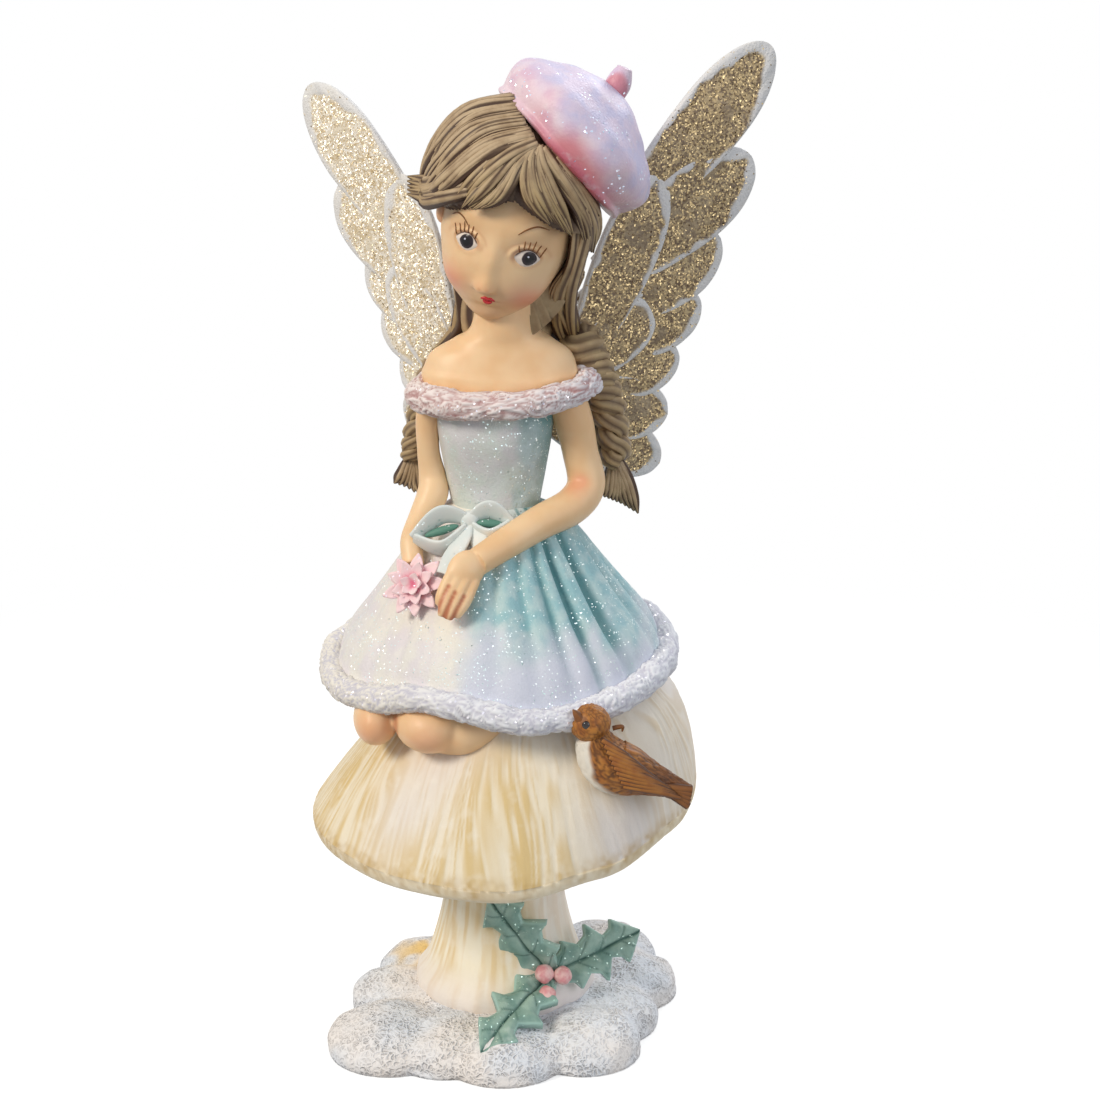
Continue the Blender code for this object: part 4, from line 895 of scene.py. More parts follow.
def face_radius(unit):
    """How far the skin lies from the head's centre along unit directions in the head's frame."""
    taper = 1 - 0.20 * np.where(unit[:, 2] < 0, unit[:, 2] ** 2, 0.0)
    scaled = unit / FACE_RADII
    scaled[:, 0] /= taper
    radius = 1 / np.linalg.norm(scaled, axis=1)
    x, z = unit[:, 0] * radius, unit[:, 2] * radius
    front = smooth(-unit[:, 1], 0.0, 0.35)
    nose_x, nose_z = NOSE
    mouth_x, mouth_z = MOUTH
    relief = bump_at(x, z, 0.4 * nose_x, -4.2, 1.15, 3.0, 0.80) + bump_at(x, z, nose_x, nose_z, 1.25,
        1.2, 1.70)
    relief += bump_at(x, z, nose_x, nose_z - 1.9, 1.6, 0.5, -0.30) + bump_at(x, z, mouth_x, -16.4, 2.3,
        1.4, 0.75)
    relief += bump_at(x, z, mouth_x, -14.4, 2.0, 0.6, -0.40) + bump_at(x, z, 0, 8.0, 8.0, 5.0, 0.3)
    for side, (eye_x, eye_z), (cheek_x, cheek_z) in zip((-1, 1), EYES, CHEEKS):
        relief += bump_at(x, z, nose_x + side * 1.2, nose_z - 0.3, 0.6, 0.6, 0.50)
        relief += bump_at(x, z, eye_x, eye_z + 0.3, 3.0, 2.3, -1.0)
        relief += bump_at(x, z, cheek_x, cheek_z + 0.6, 3.2, 2.9, 0.95)
        relief += bump_at(x, z, eye_x + side * 0.6, eye_z + 5.0, 3.0, 1.0, 0.30)
        relief += bump_at(x, z, mouth_x + side * 0.75, mouth_z + 0.35, 0.6, 0.35, 0.22)
        around = np.hypot((x - eye_x) / EYE_HALF_WIDTH, (z - eye_z) / EYE_HALF_HEIGHT)
        relief += 0.34 * np.exp(-((around - 1.28) / 0.22) ** 2) * smooth(z, eye_z - 1.6, eye_z + 1.0)
        relief += 0.14 * np.exp(-((around - 1.2) / 0.2) ** 2)
    relief += bump_at(x, z, mouth_x, mouth_z - 0.6, 0.9, 0.4, 0.30)
    return radius + relief * front


def head_directions(rows, cols, crowding=0.55):
    """Unit directions from the crown down, crowded towards the face."""
    polar = np.pi * (np.arange(rows) + 0.5) / rows
    turn = ring_angles(cols) - np.pi
    turn = turn - crowding * np.sin(turn)
    turn = turn - np.pi / 2
    return np.stack([
        np.sin(polar)[:, None] * np.cos(turn), np.sin(polar)[:, None] * np.sin(turn),
        np.cos(polar)[:, None] * np.ones(cols),
    ], axis=-1)


def make_face(paint):
    rows, cols = 156, 170
    unit = head_directions(rows, cols).reshape(-1, 3)
    radius = face_radius(unit)
    local = unit * radius[:, None]
    x, z = local[:, 0], local[:, 2]
    front = unit[:, 1] < 0
    blush = bump_at(x, z, NOSE[0], NOSE[1] - 0.6, 1.3, 0.8, 0.16) + bump_at(x, z, MOUTH[0], -16.0, 3.0,
        1.4, 0.10)
    # Lines round the eyes and their lids, the eyes' outer corners, the nostrils and the mouth's corner, in reddish
    # brown.
    crease = np.zeros(len(x))
    for side, (eye_x, eye_z), (cheek_x, cheek_z) in zip((-1, 1), EYES, CHEEKS):
        blush += bump_at(x, z, cheek_x, cheek_z, 2.4, 2.2, 0.62)
        around = np.hypot((x - eye_x) / EYE_HALF_WIDTH, (z - eye_z) / EYE_HALF_HEIGHT)
        upper = smooth(z, eye_z - 0.2, eye_z + 0.8)
        crease += (0.22 + 0.40 * upper) * np.exp(-((around - 1.10) / 0.12) ** 2)
        crease += 0.20 * np.exp(-((around - 1.75) / 0.16) ** 2) * upper
        crease += bump_at(x, z, eye_x - side * 2.5, eye_z - 0.3, 0.6, 0.4, 0.25)
        crease += bump_at(x, z, NOSE[0] + side * 0.75, NOSE[1] - 1.0, 0.32, 0.22, 0.30)
    crease += bump_at(x, z, MOUTH[0] + 1.7, MOUTH[1], 0.8, 0.14, 0.40)
    marks = {"blush": blush * front, "crease": np.clip(crease, 0, 1) * front}
    shape = grid(in_head(local).reshape(rows, cols, 3), marks)
    piece("head", shape, paint)
    ear = ball(in_head((-12.6, -2.0, 0.6)), (1.5, 2.2, 2.8), HEAD_MATRIX)
    ear.marks = {"blush": np.full(len(ear.points), 0.30), "crease": np.zeros(len(ear.points))}
    piece("ear", ear, paint)


def face_point(x, z, lift=0.0):
    """A place on the face from its sideways and upward places in the head's frame."""
    y = -FACE_RADII[1] * math.sqrt(max(0.05, 1 - (x / FACE_RADII[0]) ** 2 - (z / FACE_RADII[2]) ** 2))
    for _ in range(4):
        unit = np.array([[x, y, z]])
        unit = unit / np.linalg.norm(unit)
        radius = face_radius(unit)[0]
        y = -math.sqrt(max(1.0, (radius + lift) ** 2 - x * x - z * z))
    return in_head((x, y, z))


def make_eyes():
    eye = Paint("eye_paint", roughness=0.25, specular=0.3)
    colour = eye.mix(eye.mark("iris"), tint(240, 226, 214), tint(34, 20, 28))
    colour = eye.mix(eye.mark("pupil"), colour, tint(6, 4, 8))
    colour = eye.mix(eye.mark("glint"), colour, tint(225, 225, 240))
    colour = eye.mix(eye.mark("lid"), colour, tint(84, 48, 36))
    paint = eye.done(colour)
    eyes = []
    for eye_x, eye_z in EYES:
        rows, cols = 32, 72
        share = np.linspace(0.02, 1, rows)[:, None]
        angle = ring_angles(cols)[None, :]
        u = share * np.cos(angle)
        v = share * np.sin(angle)
        lid = 1 - 0.40 * np.abs(u) ** 2.2
        dx = u * EYE_HALF_WIDTH
        dz = v * EYE_HALF_HEIGHT * lid
        middle = face_point(eye_x, eye_z, 0.0)
        outward = (middle - HEAD_CENTRE) / np.linalg.norm(middle - HEAD_CENTRE)
        edge = np.array([face_point(eye_x + a, eye_z + b, 0.0) for a, b in zip(dx[-1], dz[-1])])
        dome = (1 - share ** 2)
        points = middle + (edge - middle)[None] * share[..., None] + outward * (0.75 * dome + 0.02)[...,
            None]
        look = np.hypot(dx - 0.25, dz - 0.10)
        glint = np.hypot(dx + 0.05, dz - 0.55)
        marks = {
            "iris": 1 - smooth(look, 1.34, 1.46), "pupil": 1 - smooth(look, 0.75, 1.05),
            "glint": 1 - smooth(glint, 0.12, 0.22), "lid": smooth(share, 0.84, 0.96) * smooth(v, 0.0, 0.5),
        }
        back = middle - outward * 1.5 + (edge - middle) * 0.5
        full = np.vstack([points, back[None]])
        marks = {name: np.vstack([values, values[-1:]]) for name, values in marks.items()}
        eyes.append(grid(full, marks))
    piece("eyes", join(eyes), paint)


BROWS = [[(-10.0, 1.9), (-8.8, 2.9), (-7.4, 2.6), (-6.2, 1.4)],
    [(3.7, 2.4), (5.2, 3.7), (7.0, 4.4), (9.0, 3.9)]]


def painted_line(knots, width, lift=0.05):
    """A thin raised stroke of paint on the face. Knots are (x, z) in the head's frame."""
    line = spline(knots, 18)
    route = [face_point(x, z, lift) for x, z in line]
    taper = np.sin(np.pi * np.linspace(0.06, 0.94, 18)) ** 0.6
    return rod(route, width * taper, 18, 8)


def make_brows_and_lips():
    strokes = []
    for side, (eye_x, eye_z), brow in zip((-1, 1), EYES, BROWS):
        strokes.append(painted_line(brow, 0.17))
        for k in range(6):
            spread = -1.7 + 0.75 * k
            base_x = eye_x + side * (0.2 + spread)
            base_z = eye_z + EYE_HALF_HEIGHT * (1 - 0.16 * spread ** 2)
            tip = (base_x + side * (0.20 + 0.34 * spread),
                base_z + 1.7 - 0.10 * abs(spread) + 0.35 * (k % 2))
            middle = ((base_x + tip[0]) / 2, base_z + 0.9)
            strokes.append(painted_line([(base_x, base_z - 0.2), middle, tip], 0.14))
    brown = Paint("lash_paint", roughness=0.5)
    strand = brown.mix(brown.lumps(1.0), tint(150, 100, 52), tint(104, 62, 34))
    piece("brows_and_lashes", join(strokes), brown.done(strand))
    x, z = MOUTH
    upper = [(x - 1.35, z + 0.05), (x - 0.6, z + 0.42), (x, z + 0.25), (x + 0.6, z + 0.42),
        (x + 1.35, z + 0.05)]
    lower = [(x - 0.9, z - 0.15), (x, z - 0.50), (x + 0.9, z - 0.15)]
    lips = [painted_line(upper, 0.38, 0.0), painted_line(lower, 0.44, 0.0)]
    red = Paint("lip_paint", roughness=0.35, specular=0.45)
    colour = red.mix(red.lumps(0.8), tint(204, 44, 50), tint(186, 34, 44))
    piece("lips", join(lips), red.done(colour))


# Hair

# Strands as pixels of the photograph, from the parting out. Each group fills the space between its lines.
LEFT_SWEEP = [
    [(512, 97), (474, 104), (446, 124), (431, 150), (424, 172), (411, 194)],
    [(518, 108), (478, 115), (448, 138), (433, 165), (424, 180), (412, 195)],
    [(524, 120), (484, 127), (454, 150), (437, 173), (426, 186), (413, 197)],
    [(530, 132), (494, 140), (464, 160), (446, 178), (432, 190), (418, 198)],
    [(535, 140), (502, 150), (474, 168), (456, 184), (442, 194), (428, 200)],
]
LEFT_BANGS = [
    [(535, 142), (503, 154), (480, 172), (464, 188), (455, 199)],
    [(536, 144), (508, 160), (488, 180), (472, 197), (462, 208)],
    [(536, 146), (514, 164), (498, 186), (484, 202), (472, 210)],
    [(536, 147), (519, 166), (509, 186), (498, 200), (484, 209)],
]
RIGHT_BANGS = [
    [(536, 146), (525, 164), (525, 186), (531, 206), (544, 222)],
    [(538, 146), (533, 166), (538, 190), (548, 212), (560, 229)],
    [(540, 147), (543, 168), (554, 194), (566, 218), (576, 240)],
]
RIGHT_SWEEP = [
    [(540, 147), (549, 166), (565, 192), (578, 220), (586, 250)],
    [(546, 150), (560, 170), (578, 196), (592, 224), (598, 254)],
    [(556, 158), (572, 178), (590, 202), (603, 226), (603, 250)],
]


def hair_paint():
    hair = Paint("hair_paint", roughness=0.5, specular=0.35)
    top = hair.mix(hair.mark("yellow"), tint(194, 170, 138), tint(164, 138, 80))
    top = hair.mix(hair.step(hair.lumps(2.6, 3.0), 0.35, 0.75, 0.0, 0.8), top, tint(158, 132, 102))
    colour = hair.mix(hair.step(hair.mark("ridge"), 0.12, 0.78), tint(66, 44, 30), top)
    return hair.done(colour, hair.bump(hair.lumps(0.5, 3.0), 0.05))


def strand(route, width, height, yellow, seed, outward):
    """A lock of hair with a few fine ridges along it, pale on top and dark in its grooves."""
    rows, sides = 24, 18
    radii = width * np.array([0.75, 0.95, 1.0, 0.8, 0.12])
    knots = spline(route, 5)

    def ridges(along, angle):
        swirl = angle + 0.35 * np.sin(3 * along + seed)
        return 1 + 0.13 * np.sin(5 * swirl + seed) + 0.06 * np.sin(9 * swirl + 2.3 * seed)

    shape = rod(knots, radii, rows, sides, flat=height, up=outward, shape_of=ridges)
    up = shape.marks["up"]
    angle = np.append(np.tile(ring_angles(sides), rows), [0.0, 0.0])
    swirl = angle + 0.35 * np.sin(3 * shape.marks["along"] + seed)
    fine = 0.5 + 0.5 * np.sin(5 * swirl + seed)
    shape.marks = {
        "ridge": np.clip(smooth(up, 0.10, 0.90) * (0.12 + 1.0 * fine), 0, 1),
        "yellow": yellow * shape.marks["along"],
    }
    return shape


def chance(k, seed):
    """A repeatable number from 0 to 1 for a count and a seed."""
    return float(lattice(np.int64(k), np.int64(7), np.int64(3), seed))


def sweep_of(lines, count, lift, width, height, yellow, seed, jitter=0.25):
    """Locks of uneven width between guide lines given as pixels of the photograph."""
    guides = np.array([spline(on_head(line, HAIR_RADII, lift), 11) for line in lines])
    made = []
    for k in range(count):
        place = np.clip((k + 0.7 * (chance(k, seed) - 0.5)) / (count - 1), 0, 1) * (len(guides) - 1)
        low = min(int(place), len(guides) - 2)
        route = guides[low] + (guides[low + 1] - guides[low]) * (place - low)
        outward = route - HEAD_CENTRE
        outward = outward / np.linalg.norm(outward, axis=1)[:, None]
        stop = 11 - int(2.6 * chance(k, seed + 1))
        sink = jitter * (2 * chance(k, seed + 2) - 1)
        route = route[:stop] + outward[:stop] * (sink + jitter * noise(route[:stop] * 0.25, 1.0,
            seed))[:, None]
        size = width * (0.55 + 0.9 * chance(k, seed + 3))
        made.append(strand(route, size, height, yellow, seed + k, outward[5]))
    return made


def hairline(x):
    return 0.56 - 0.42 * np.abs(x - 0.10)


def hair_mass():
    """The body of the hair on the skull, with grooves that fall from the crown down the back."""
    rows, cols = 110, 200
    unit = head_directions(rows, cols, 0.0).reshape(-1, 3)
    full = hair_swell(unit) / np.linalg.norm(unit / HAIR_RADII, axis=1)
    full = full * (1 - 0.24 * smooth(-unit[:, 0], 0.25, 0.75) * smooth(-unit[:, 2], -0.35, -0.05))
    behind = np.where(unit[:, 0] < 0, 0.30, -0.10)
    hidden = (unit[:, 2] < hairline(unit[:, 0])) & (unit[:, 1] < behind)
    turn = np.arctan2(unit[:, 1], unit[:, 0])
    ring = np.stack([np.cos(turn), np.sin(turn), 0.15 * unit[:, 2]], axis=1)
    wander = ring + 0.05 * noise(unit * 3, 1.0, 71)[:, None]
    fine = noise(wander, 0.085, 72)
    coarse = noise(wander, 0.26, 73)
    shell = full - 0.9 + 0.40 * fine + 0.45 * coarse
    skull = 1 / np.linalg.norm(unit / (FACE_RADII - 1.0), axis=1)
    radius = np.where(hidden, np.minimum(skull, shell), shell)
    points = in_head(unit * radius[:, None]).reshape(rows, cols, 3)
    front = smooth(-unit[:, 1], 0.2, 0.5)
    below = smooth(-unit[:, 2], 0.25, 0.65)
    # Darker at the front; the dark brown beneath the hair at the front is painted shadow under the hair.
    ridge = np.clip(0.45 + 0.60 * fine + 0.45 * coarse, 0,
        1) * (1 - 0.6 * front) * (1 - 0.85 * below * front)
    return grid(points, {"ridge": ridge, "yellow": 0.25 * smooth(-unit[:, 2], 0.0, 0.8)})


def plait(route, width, turns, yellow, seed):
    """Three strands plaited along a route, each with fine ridges."""
    strands = []
    rows = 30 * turns
    line = spline(route, rows)
    ahead, side, normal = frames_along(line)
    share = np.linspace(0, 1, rows)
    size = width * (1 - 0.30 * share)
    for k in range(3):
        phase = 2 * np.pi * (turns * share + k / 3)
        path = line + side * (0.62 * size * np.sin(phase))[:,
            None] + normal * (0.34 * size * np.sin(2 * phase))[:, None]

        def ridges(along, angle):
            return 1 + 0.12 * np.sin(7 * angle + 5 * along + k)

        lock = rod(path[::3], 0.58 * size[::3], rows, 24, shape_of=ridges)
        angle = ring_angles(24)
        fine = 0.5 + 0.5 * np.sin(7 * angle[None, :] + 5 * share[:, None] + k)
        out = np.linalg.norm(lock.points[:-2] - np.repeat(line, 24, 0), axis=1).reshape(rows,
            24) / size[:, None]
        flat = (0.30 + 0.5 * fine) * smooth(out, 0.50, 1.00)
        lock.marks = {"ridge": np.append(flat.ravel(), [0.3, 0.3]),
            "yellow": np.full(len(lock.points), yellow)}
        strands.append(lock)
    return strands


def make_hair():
    paint = hair_paint()
    piece("hair_mass", hair_mass(), paint)
    locks = sweep_of(LEFT_SWEEP, 30, 0.2, 1.20, 0.80, 0.20, 3)
    locks += sweep_of(LEFT_BANGS, 14, 0.1, 1.10, 0.90, 0.50, 5, 0.35)
    locks += sweep_of(RIGHT_BANGS, 12, 0.0, 1.15, 0.85, 0.75, 7, 0.35)
    locks += sweep_of(RIGHT_SWEEP, 16, 0.1, 1.25, 0.85, 0.60, 9, 0.30)
    flick = on_head([(470, 186), (446, 192), (428, 196)], HAIR_RADII, 0.2).tolist()
    flick += [in_head((-16.5, -7.0, 4.0)).tolist(), in_head((-20.0, -5.5, 3.6)).tolist()]
    for k in range(5):
        shift = np.array([0.0, 0.5 * k, -1.0 + 0.75 * k])
        locks.append(strand(spline(np.array(flick) + shift, 9), 1.5, 0.8, 0.5, 15 + k, (-0.4, -1.0, 0.2)))
    side_lock = [
        in_head((14.9, -5.6, 7.2)), in_head((14.9, -3.4, -2.2)), in_head((13.2, -0.8, -10.2)),
        on_crown(12.5, 3.0, 68.0), on_crown(15.0, 8.5, 60.0),
    ]
    for k in range(12):
        shift = np.array([1.1 * math.sin(2.1 * k), 1.5 * math.cos(1.3 * k) + 0.8, 0.0])
        wave = np.array([[0.9 * math.sin(1.9 * j + 2.3 * k), 0.0, 0.0] for j in range(len(side_lock))])
        locks.append(strand(spline(np.array(side_lock) + shift + wave, 11), 1.3, 0.85, 0.9, 20 + k,
            (0.3, -1.0, 0.0)))
    left_lock = [
        in_head((-5.5, 6.0, -8.0)), in_head((-6.2, 6.0, -14.0)), on_crown(-8.4, 7.0, 64.0),
        on_crown(-12.6, 9.5, 55.0),
    ]
    for k in range(5):
        shift = np.array([0.8 * math.sin(2.3 * k), 1.2 * math.cos(1.7 * k) + 0.6, 0.0])
        locks.append(strand(spline(np.array(left_lock) + shift, 9), 1.5, 0.8, 0.9, 40 + k,
            (-0.3, -1.0, 0.0)))
    for k in range(28):
        share = k / 27
        angle = math.pi * (0.02 + 0.90 * share)
        side = 1 if share < 0.5 else -1
        width = 15.5 if side > 0 else 11.4
        top = in_head((width * math.cos(angle), 15.0 * math.sin(angle), -6.0))
        gather = on_crown(14.5 * side + 0.5, 9.0, 61.0)
        middle = on_crown(0.7 * width * math.cos(angle), 4.0 + 8.0 * math.sin(angle), 68.0)
        outward = (math.cos(angle), math.sin(angle), 0)
        locks.append(strand(spline([top, middle, gather], 9), 2.0, 0.8, 0.8, 60 + k, outward))
    piece("hair_locks", join(locks), paint)
    nape_centre = on_crown(1.0, 6.0, 70.0)
    nape = ball(nape_centre, (9.5, 6.2, 11.0), segments=96, rings=54)
    falls = noise(nape.points * (1.0, 1.0, 0.12), 1.15, 77)
    nape.points += 0.05 * falls[:, None] * (nape.points - nape_centre)
    nape.marks = {"ridge": np.clip(0.40 + 0.8 * falls, 0, 1), "yellow": np.full(len(nape.points), 0.3)}
    right = [on_crown(14.6, 7.0, 64.0), on_crown(17.6, 7.8, 58.0), on_crown(20.6, 8.0, 50.0),
        on_crown(22.6, 8.0, 38.5)]
    left = [on_crown(-13.4, 9.2, 57.0), on_crown(-15.8, 9.6, 50.0), on_crown(-17.6, 9.0, 43.0),
        on_crown(-18.4, 8.6, 39.0)]
    braids = [nape] + plait(right, 5.0, 3, 0.4, 1) + plait(left, 3.6, 2, 0.4, 2)
    for end, start, middle, count, width in (
        (on_crown(23.8, 7.0, 29.6), on_crown(22.6, 8.0, 39.0), 1.9, 9, 1.35),
        (on_crown(-19.6, 8.2, 32.6), on_crown(-18.4, 8.6, 39.5), 1.4, 6, 1.2),
    ):
        for k in range(count):
            fan = 2 * k / (count - 1) - 1
            half_way = 0.5 * (start + end) + np.array([middle * fan, -0.4, 0.0])
            tip = end + np.array([1.8 * middle * fan, -1.2 * abs(fan), -0.9 * middle * fan])
            braids.append(strand(spline([start, half_way, tip], 9), width, 0.9, 0.3, 80 + k, (0, -1, 0)))
    piece("braids", join(braids), paint)


# Beret

def make_beret():
    half = 0.5 * BERET_HEIGHT
    shares = [
        (0.02, 1.0), (0.27, 0.93), (0.52, 0.70), (0.72, 0.42), (0.91, 0.12), (1.0, -0.18), (0.99, -0.48),
        (0.92, -0.78),
        (0.84, -1.0), (0.02, -1.0),
    ]
    rows, cols = 80, 180
    line = spline([(BERET_RADIUS * out, half * up) for out, up in shares], rows)
    angle = ring_angles(cols)
    points = np.dstack([line[:, :1] * np.cos(angle), line[:, :1] * np.sin(angle),
        line[:, 1:] * np.ones(cols)])
    flat = points.reshape(-1, 3)
    dents = 0.50 * noise(flat, 8.0, 61) + 0.22 * noise(flat, 3.5, 62)
    direction = flat / np.array([BERET_RADIUS, BERET_RADIUS, half])
    direction /= np.maximum(0.2, np.linalg.norm(direction, axis=1))[:, None]
    flat = flat + direction * dents[:, None]
    normal = np.array([0.73, 0.13, 0.65])
    normal /= np.linalg.norm(normal)
    turn = np.array(Vector((0, 0, 1)).rotation_difference(Vector(normal)).to_matrix())
    centre = on_crown(16.8, 2.6, 107.4)
    world = flat @ turn.T + centre
    level = (line[:, 1:] / half * np.ones(cols)).ravel()
    shade = noise(flat, 5.0, 63)
    facing = smooth(-world[:, 1], 4.0, 14.0)
    along = smooth(world[:, 0], 4.0, 12.0)
    # Deep rose under the brim, at the front and stronger to the right: painted shade under the brim.
    rose = (1 - smooth(level + 0.30 * shade, -0.75, -0.25)) * facing * (0.25 + 0.75 * along)
    # Darker rose at the brim's lower edge: painted shade.
    rim = (1 - smooth(level + 0.12 * shade, -0.92, -0.72)) * facing * (0.3 + 0.7 * along)
    blue = smooth(level + 0.3 * shade, -0.45, 0.05) * (0.50 + 0.50 * smooth(world[:, 0], 4.0, 12.0))
    marks = {"rose": rose, "rim": rim, "lilac": blue}
    body = grid(world.reshape(rows, cols, 3),
        {name: values.reshape(rows, cols) for name, values in marks.items()})
    knots = [
        centre + normal * 0.80 * half + (-0.8, 0.0, 0.0), centre + normal * 1.08 * half + (-1.0, 0.0, 1.8),
        centre + normal * 1.18 * half + (-0.4, 0.0, 4.2),
    ]
    stalk = rod(knots, [1.9, 2.5, 1.5], 40, 32)
    # Rose in the hollow beside the stalk: painted shade.
    hollow = smooth(-(stalk.points @ (0.3, 1.0, 0.2) - knots[1] @ (0.3, 1.0, 0.2)), 0.6, 1.8)
    stalk.marks = {
        "rose": 0.05 + 0.6 * hollow, "rim": 0.5 * hollow, "lilac": np.full(len(stalk.points), 0.5),
    }
    beret = Paint("beret_paint", roughness=0.45, specular=0.45)
    pink = beret.mix(beret.step(beret.lumps(4.0, 4.0), 0.38, 0.64), tint(236, 214, 224),
        tint(224, 190, 210))
    blue = beret.mix(beret.step(beret.lumps(3.5, 4.0), 0.40, 0.62), tint(206, 200, 230),
        tint(222, 206, 228))
    colour = beret.mix(beret.mark("lilac"), pink, blue)
    # Rose and darker rose: painted shade under the brim and beside the stalk.
    colour = beret.mix(beret.mark("rose"), colour, tint(222, 142, 152))
    colour = beret.mix(beret.mark("rim"), colour, tint(190, 96, 112))
    colour = beret.mix(beret.step(beret.lumps(3.0, 4.0), 0.58, 0.8, 0.0, 0.45), colour, tint(226, 218, 222))
    base = beret.bump(beret.lumps(0.6, 3.0), 0.10)
    share = beret.step(beret.lumps(5.0), 0.45, 0.75, 0.005, 0.06)
    colour = beret.glitter(colour, 0.32, share, (tint(236, 244, 255), tint(200, 225, 250)), tilt=0.9,
        under=base)
    piece("beret", join([body, stalk]), beret.done(colour))


# Wings

def wing_feathers(side):
    """(base, tip, width, layer) of each feather, out from the root and up from the crown."""
    if side == "right":
        return [
            ((20.0, 84.0), (51.2, 118.8), 15.0, 0), ((16.0, 74.0), (47.5, 96.5), 16.5, 0),
            ((12.0, 66.0), (41.2, 80.0), 16.5, 0), ((9.0, 59.0), (37.2, 67.0), 14.5, 0),
            ((6.0, 53.0), (32.5, 56.0), 13.5, 0), ((4.0, 50.0), (30.0, 44.0), 13.5, 0),
            ((3.0, 47.0), (28.5, 33.5), 12.5, 0), ((11.0, 58.0), (27.4, 94.0), 13.0, 1),
            ((9.5, 54.0), (26.0, 68.0), 12.0, 1),
        ]
    return [
        ((12.0, 78.0), (41.0, 109.6), 15.0, 0), ((10.0, 70.0), (33.5, 90.5), 16.0, 0),
        ((8.0, 62.0), (26.2, 77.5), 15.0, 0), ((6.0, 56.0), (22.8, 66.5), 14.0, 0),
        ((4.0, 52.0), (19.0, 56.0), 13.0, 0), ((3.0, 49.0), (17.8, 42.5), 12.0, 0),
        ((6.0, 54.0), (18.5, 94.0), 13.0, 1), ((5.0, 52.0), (19.5, 76.0), 12.0, 1),
    ]


def blade_frame(base, tip, face):
    """A blade's length, and unit vectors along it, across it and up off its face."""
    length = np.linalg.norm(tip - base)
    along = (tip - base) / length
    across = np.cross(along, face)
    across /= np.linalg.norm(across)
    return length, along, across, np.cross(across, along)


def feather(base, tip, face, width, thickness, bow, seed):
    """A feather blade with a rounded tip and a raised pale edge, glittered between its edges."""
    rows, sides = 62, 46
    length, along, across, up = blade_frame(base, tip, face)
    share = np.linspace(0, 1, rows)[:, None]
    place = 1 - (1 - share) ** 1.8
    beyond = np.clip((place - 0.62) / 0.38, 0, 1)
    tail = np.sqrt(np.clip(1 - beyond ** 2, 0, 1))
    half_width = 0.5 * width * (0.55 + 0.45 * np.sin(0.5 * np.pi * np.minimum(1.0, place / 0.62)))
    half_width = half_width * np.maximum(0.02, tail)
    angle = ring_angles(sides)[None, :]
    wide = np.sign(np.cos(angle)) * np.abs(np.cos(angle)) ** 0.75
    thick = 0.5 * thickness * np.sign(np.sin(angle)) * np.abs(np.sin(angle)) ** 0.45
    flat = together(place * length, wide * half_width, 0.0)
    barbs = noise(flat * (0.25, 1.0, 1.0), 1.3, seed)
    ragged = noise(flat, 2.4, seed + 30)
    inside = np.hypot(beyond, np.abs(wide))
    edge = smooth(inside + 0.10 * ragged, 0.76, 0.98)
    top = np.sin(angle) > 0.05
    dish = -0.34 * (1 - edge) * (np.abs(wide) < 0.9) + 0.14 * barbs
    lift = thick * np.maximum(0.25, tail) + np.where(top, dish, 0.0)
    middle = base + along * (length * place)[..., None] + up * (bow * np.sin(np.pi * place))[..., None]
    points = middle + across * (half_width * wide)[..., None] + up * lift[..., None]
    back = (np.sin(angle) < 0.1) * np.where(np.abs(wide) > 0.86, 1.0, 0.15)
    marks = {
        "edge": np.maximum(edge * top, back) * np.ones((rows, sides)),
        "bare": np.clip(smooth(barbs + 0.8 * ragged, 0.25, 0.9) + 0.6 * smooth(-place, -0.25, 0.0), 0, 1),
    }
    return grid(points, marks)


def wing_paint(name, pale, dark, share, flakes):
    wing = Paint(name, roughness=0.5, specular=0.4)
    ground = wing.mix(wing.step(wing.lumps(5.0, 4.0), 0.38, 0.62), pale, dark)
    grains = wing.node("TexVoronoi", {"Vector": wing.place, "Scale": 1000 / 0.45}).outputs["Color"]
    tone = wing.node("SeparateColor", {"Color": grains}).outputs[2]
    grainy = wing.mix(wing.step(tone, 0.2, 0.8), flakes[1], flakes[0])
    ground = wing.mix(wing.step(wing.mark("bare"), 0.0, 1.0, 0.62, 0.20), ground, grainy)
    base = wing.bump(wing.lumps(0.5, 2.0), 0.20)
    kept = wing.sum("MULTIPLY", wing.step(wing.mark("bare"), 0.0, 1.0, 1.0, 0.35), share)
    kept = wing.sum("MULTIPLY", wing.step(wing.mark("edge"), 0.2, 0.7, 1.0, 0.08), kept)
    white = wing.mix(wing.lumps(3.0), tint(238, 235, 230), tint(222, 224, 230))
    ground = wing.mix(wing.step(wing.mark("edge"), 0.15, 0.80, 0.0, 0.92), ground, white)
    return wing.done(wing.glitter(ground, 0.30, kept, flakes, tilt=1.1, under=base))


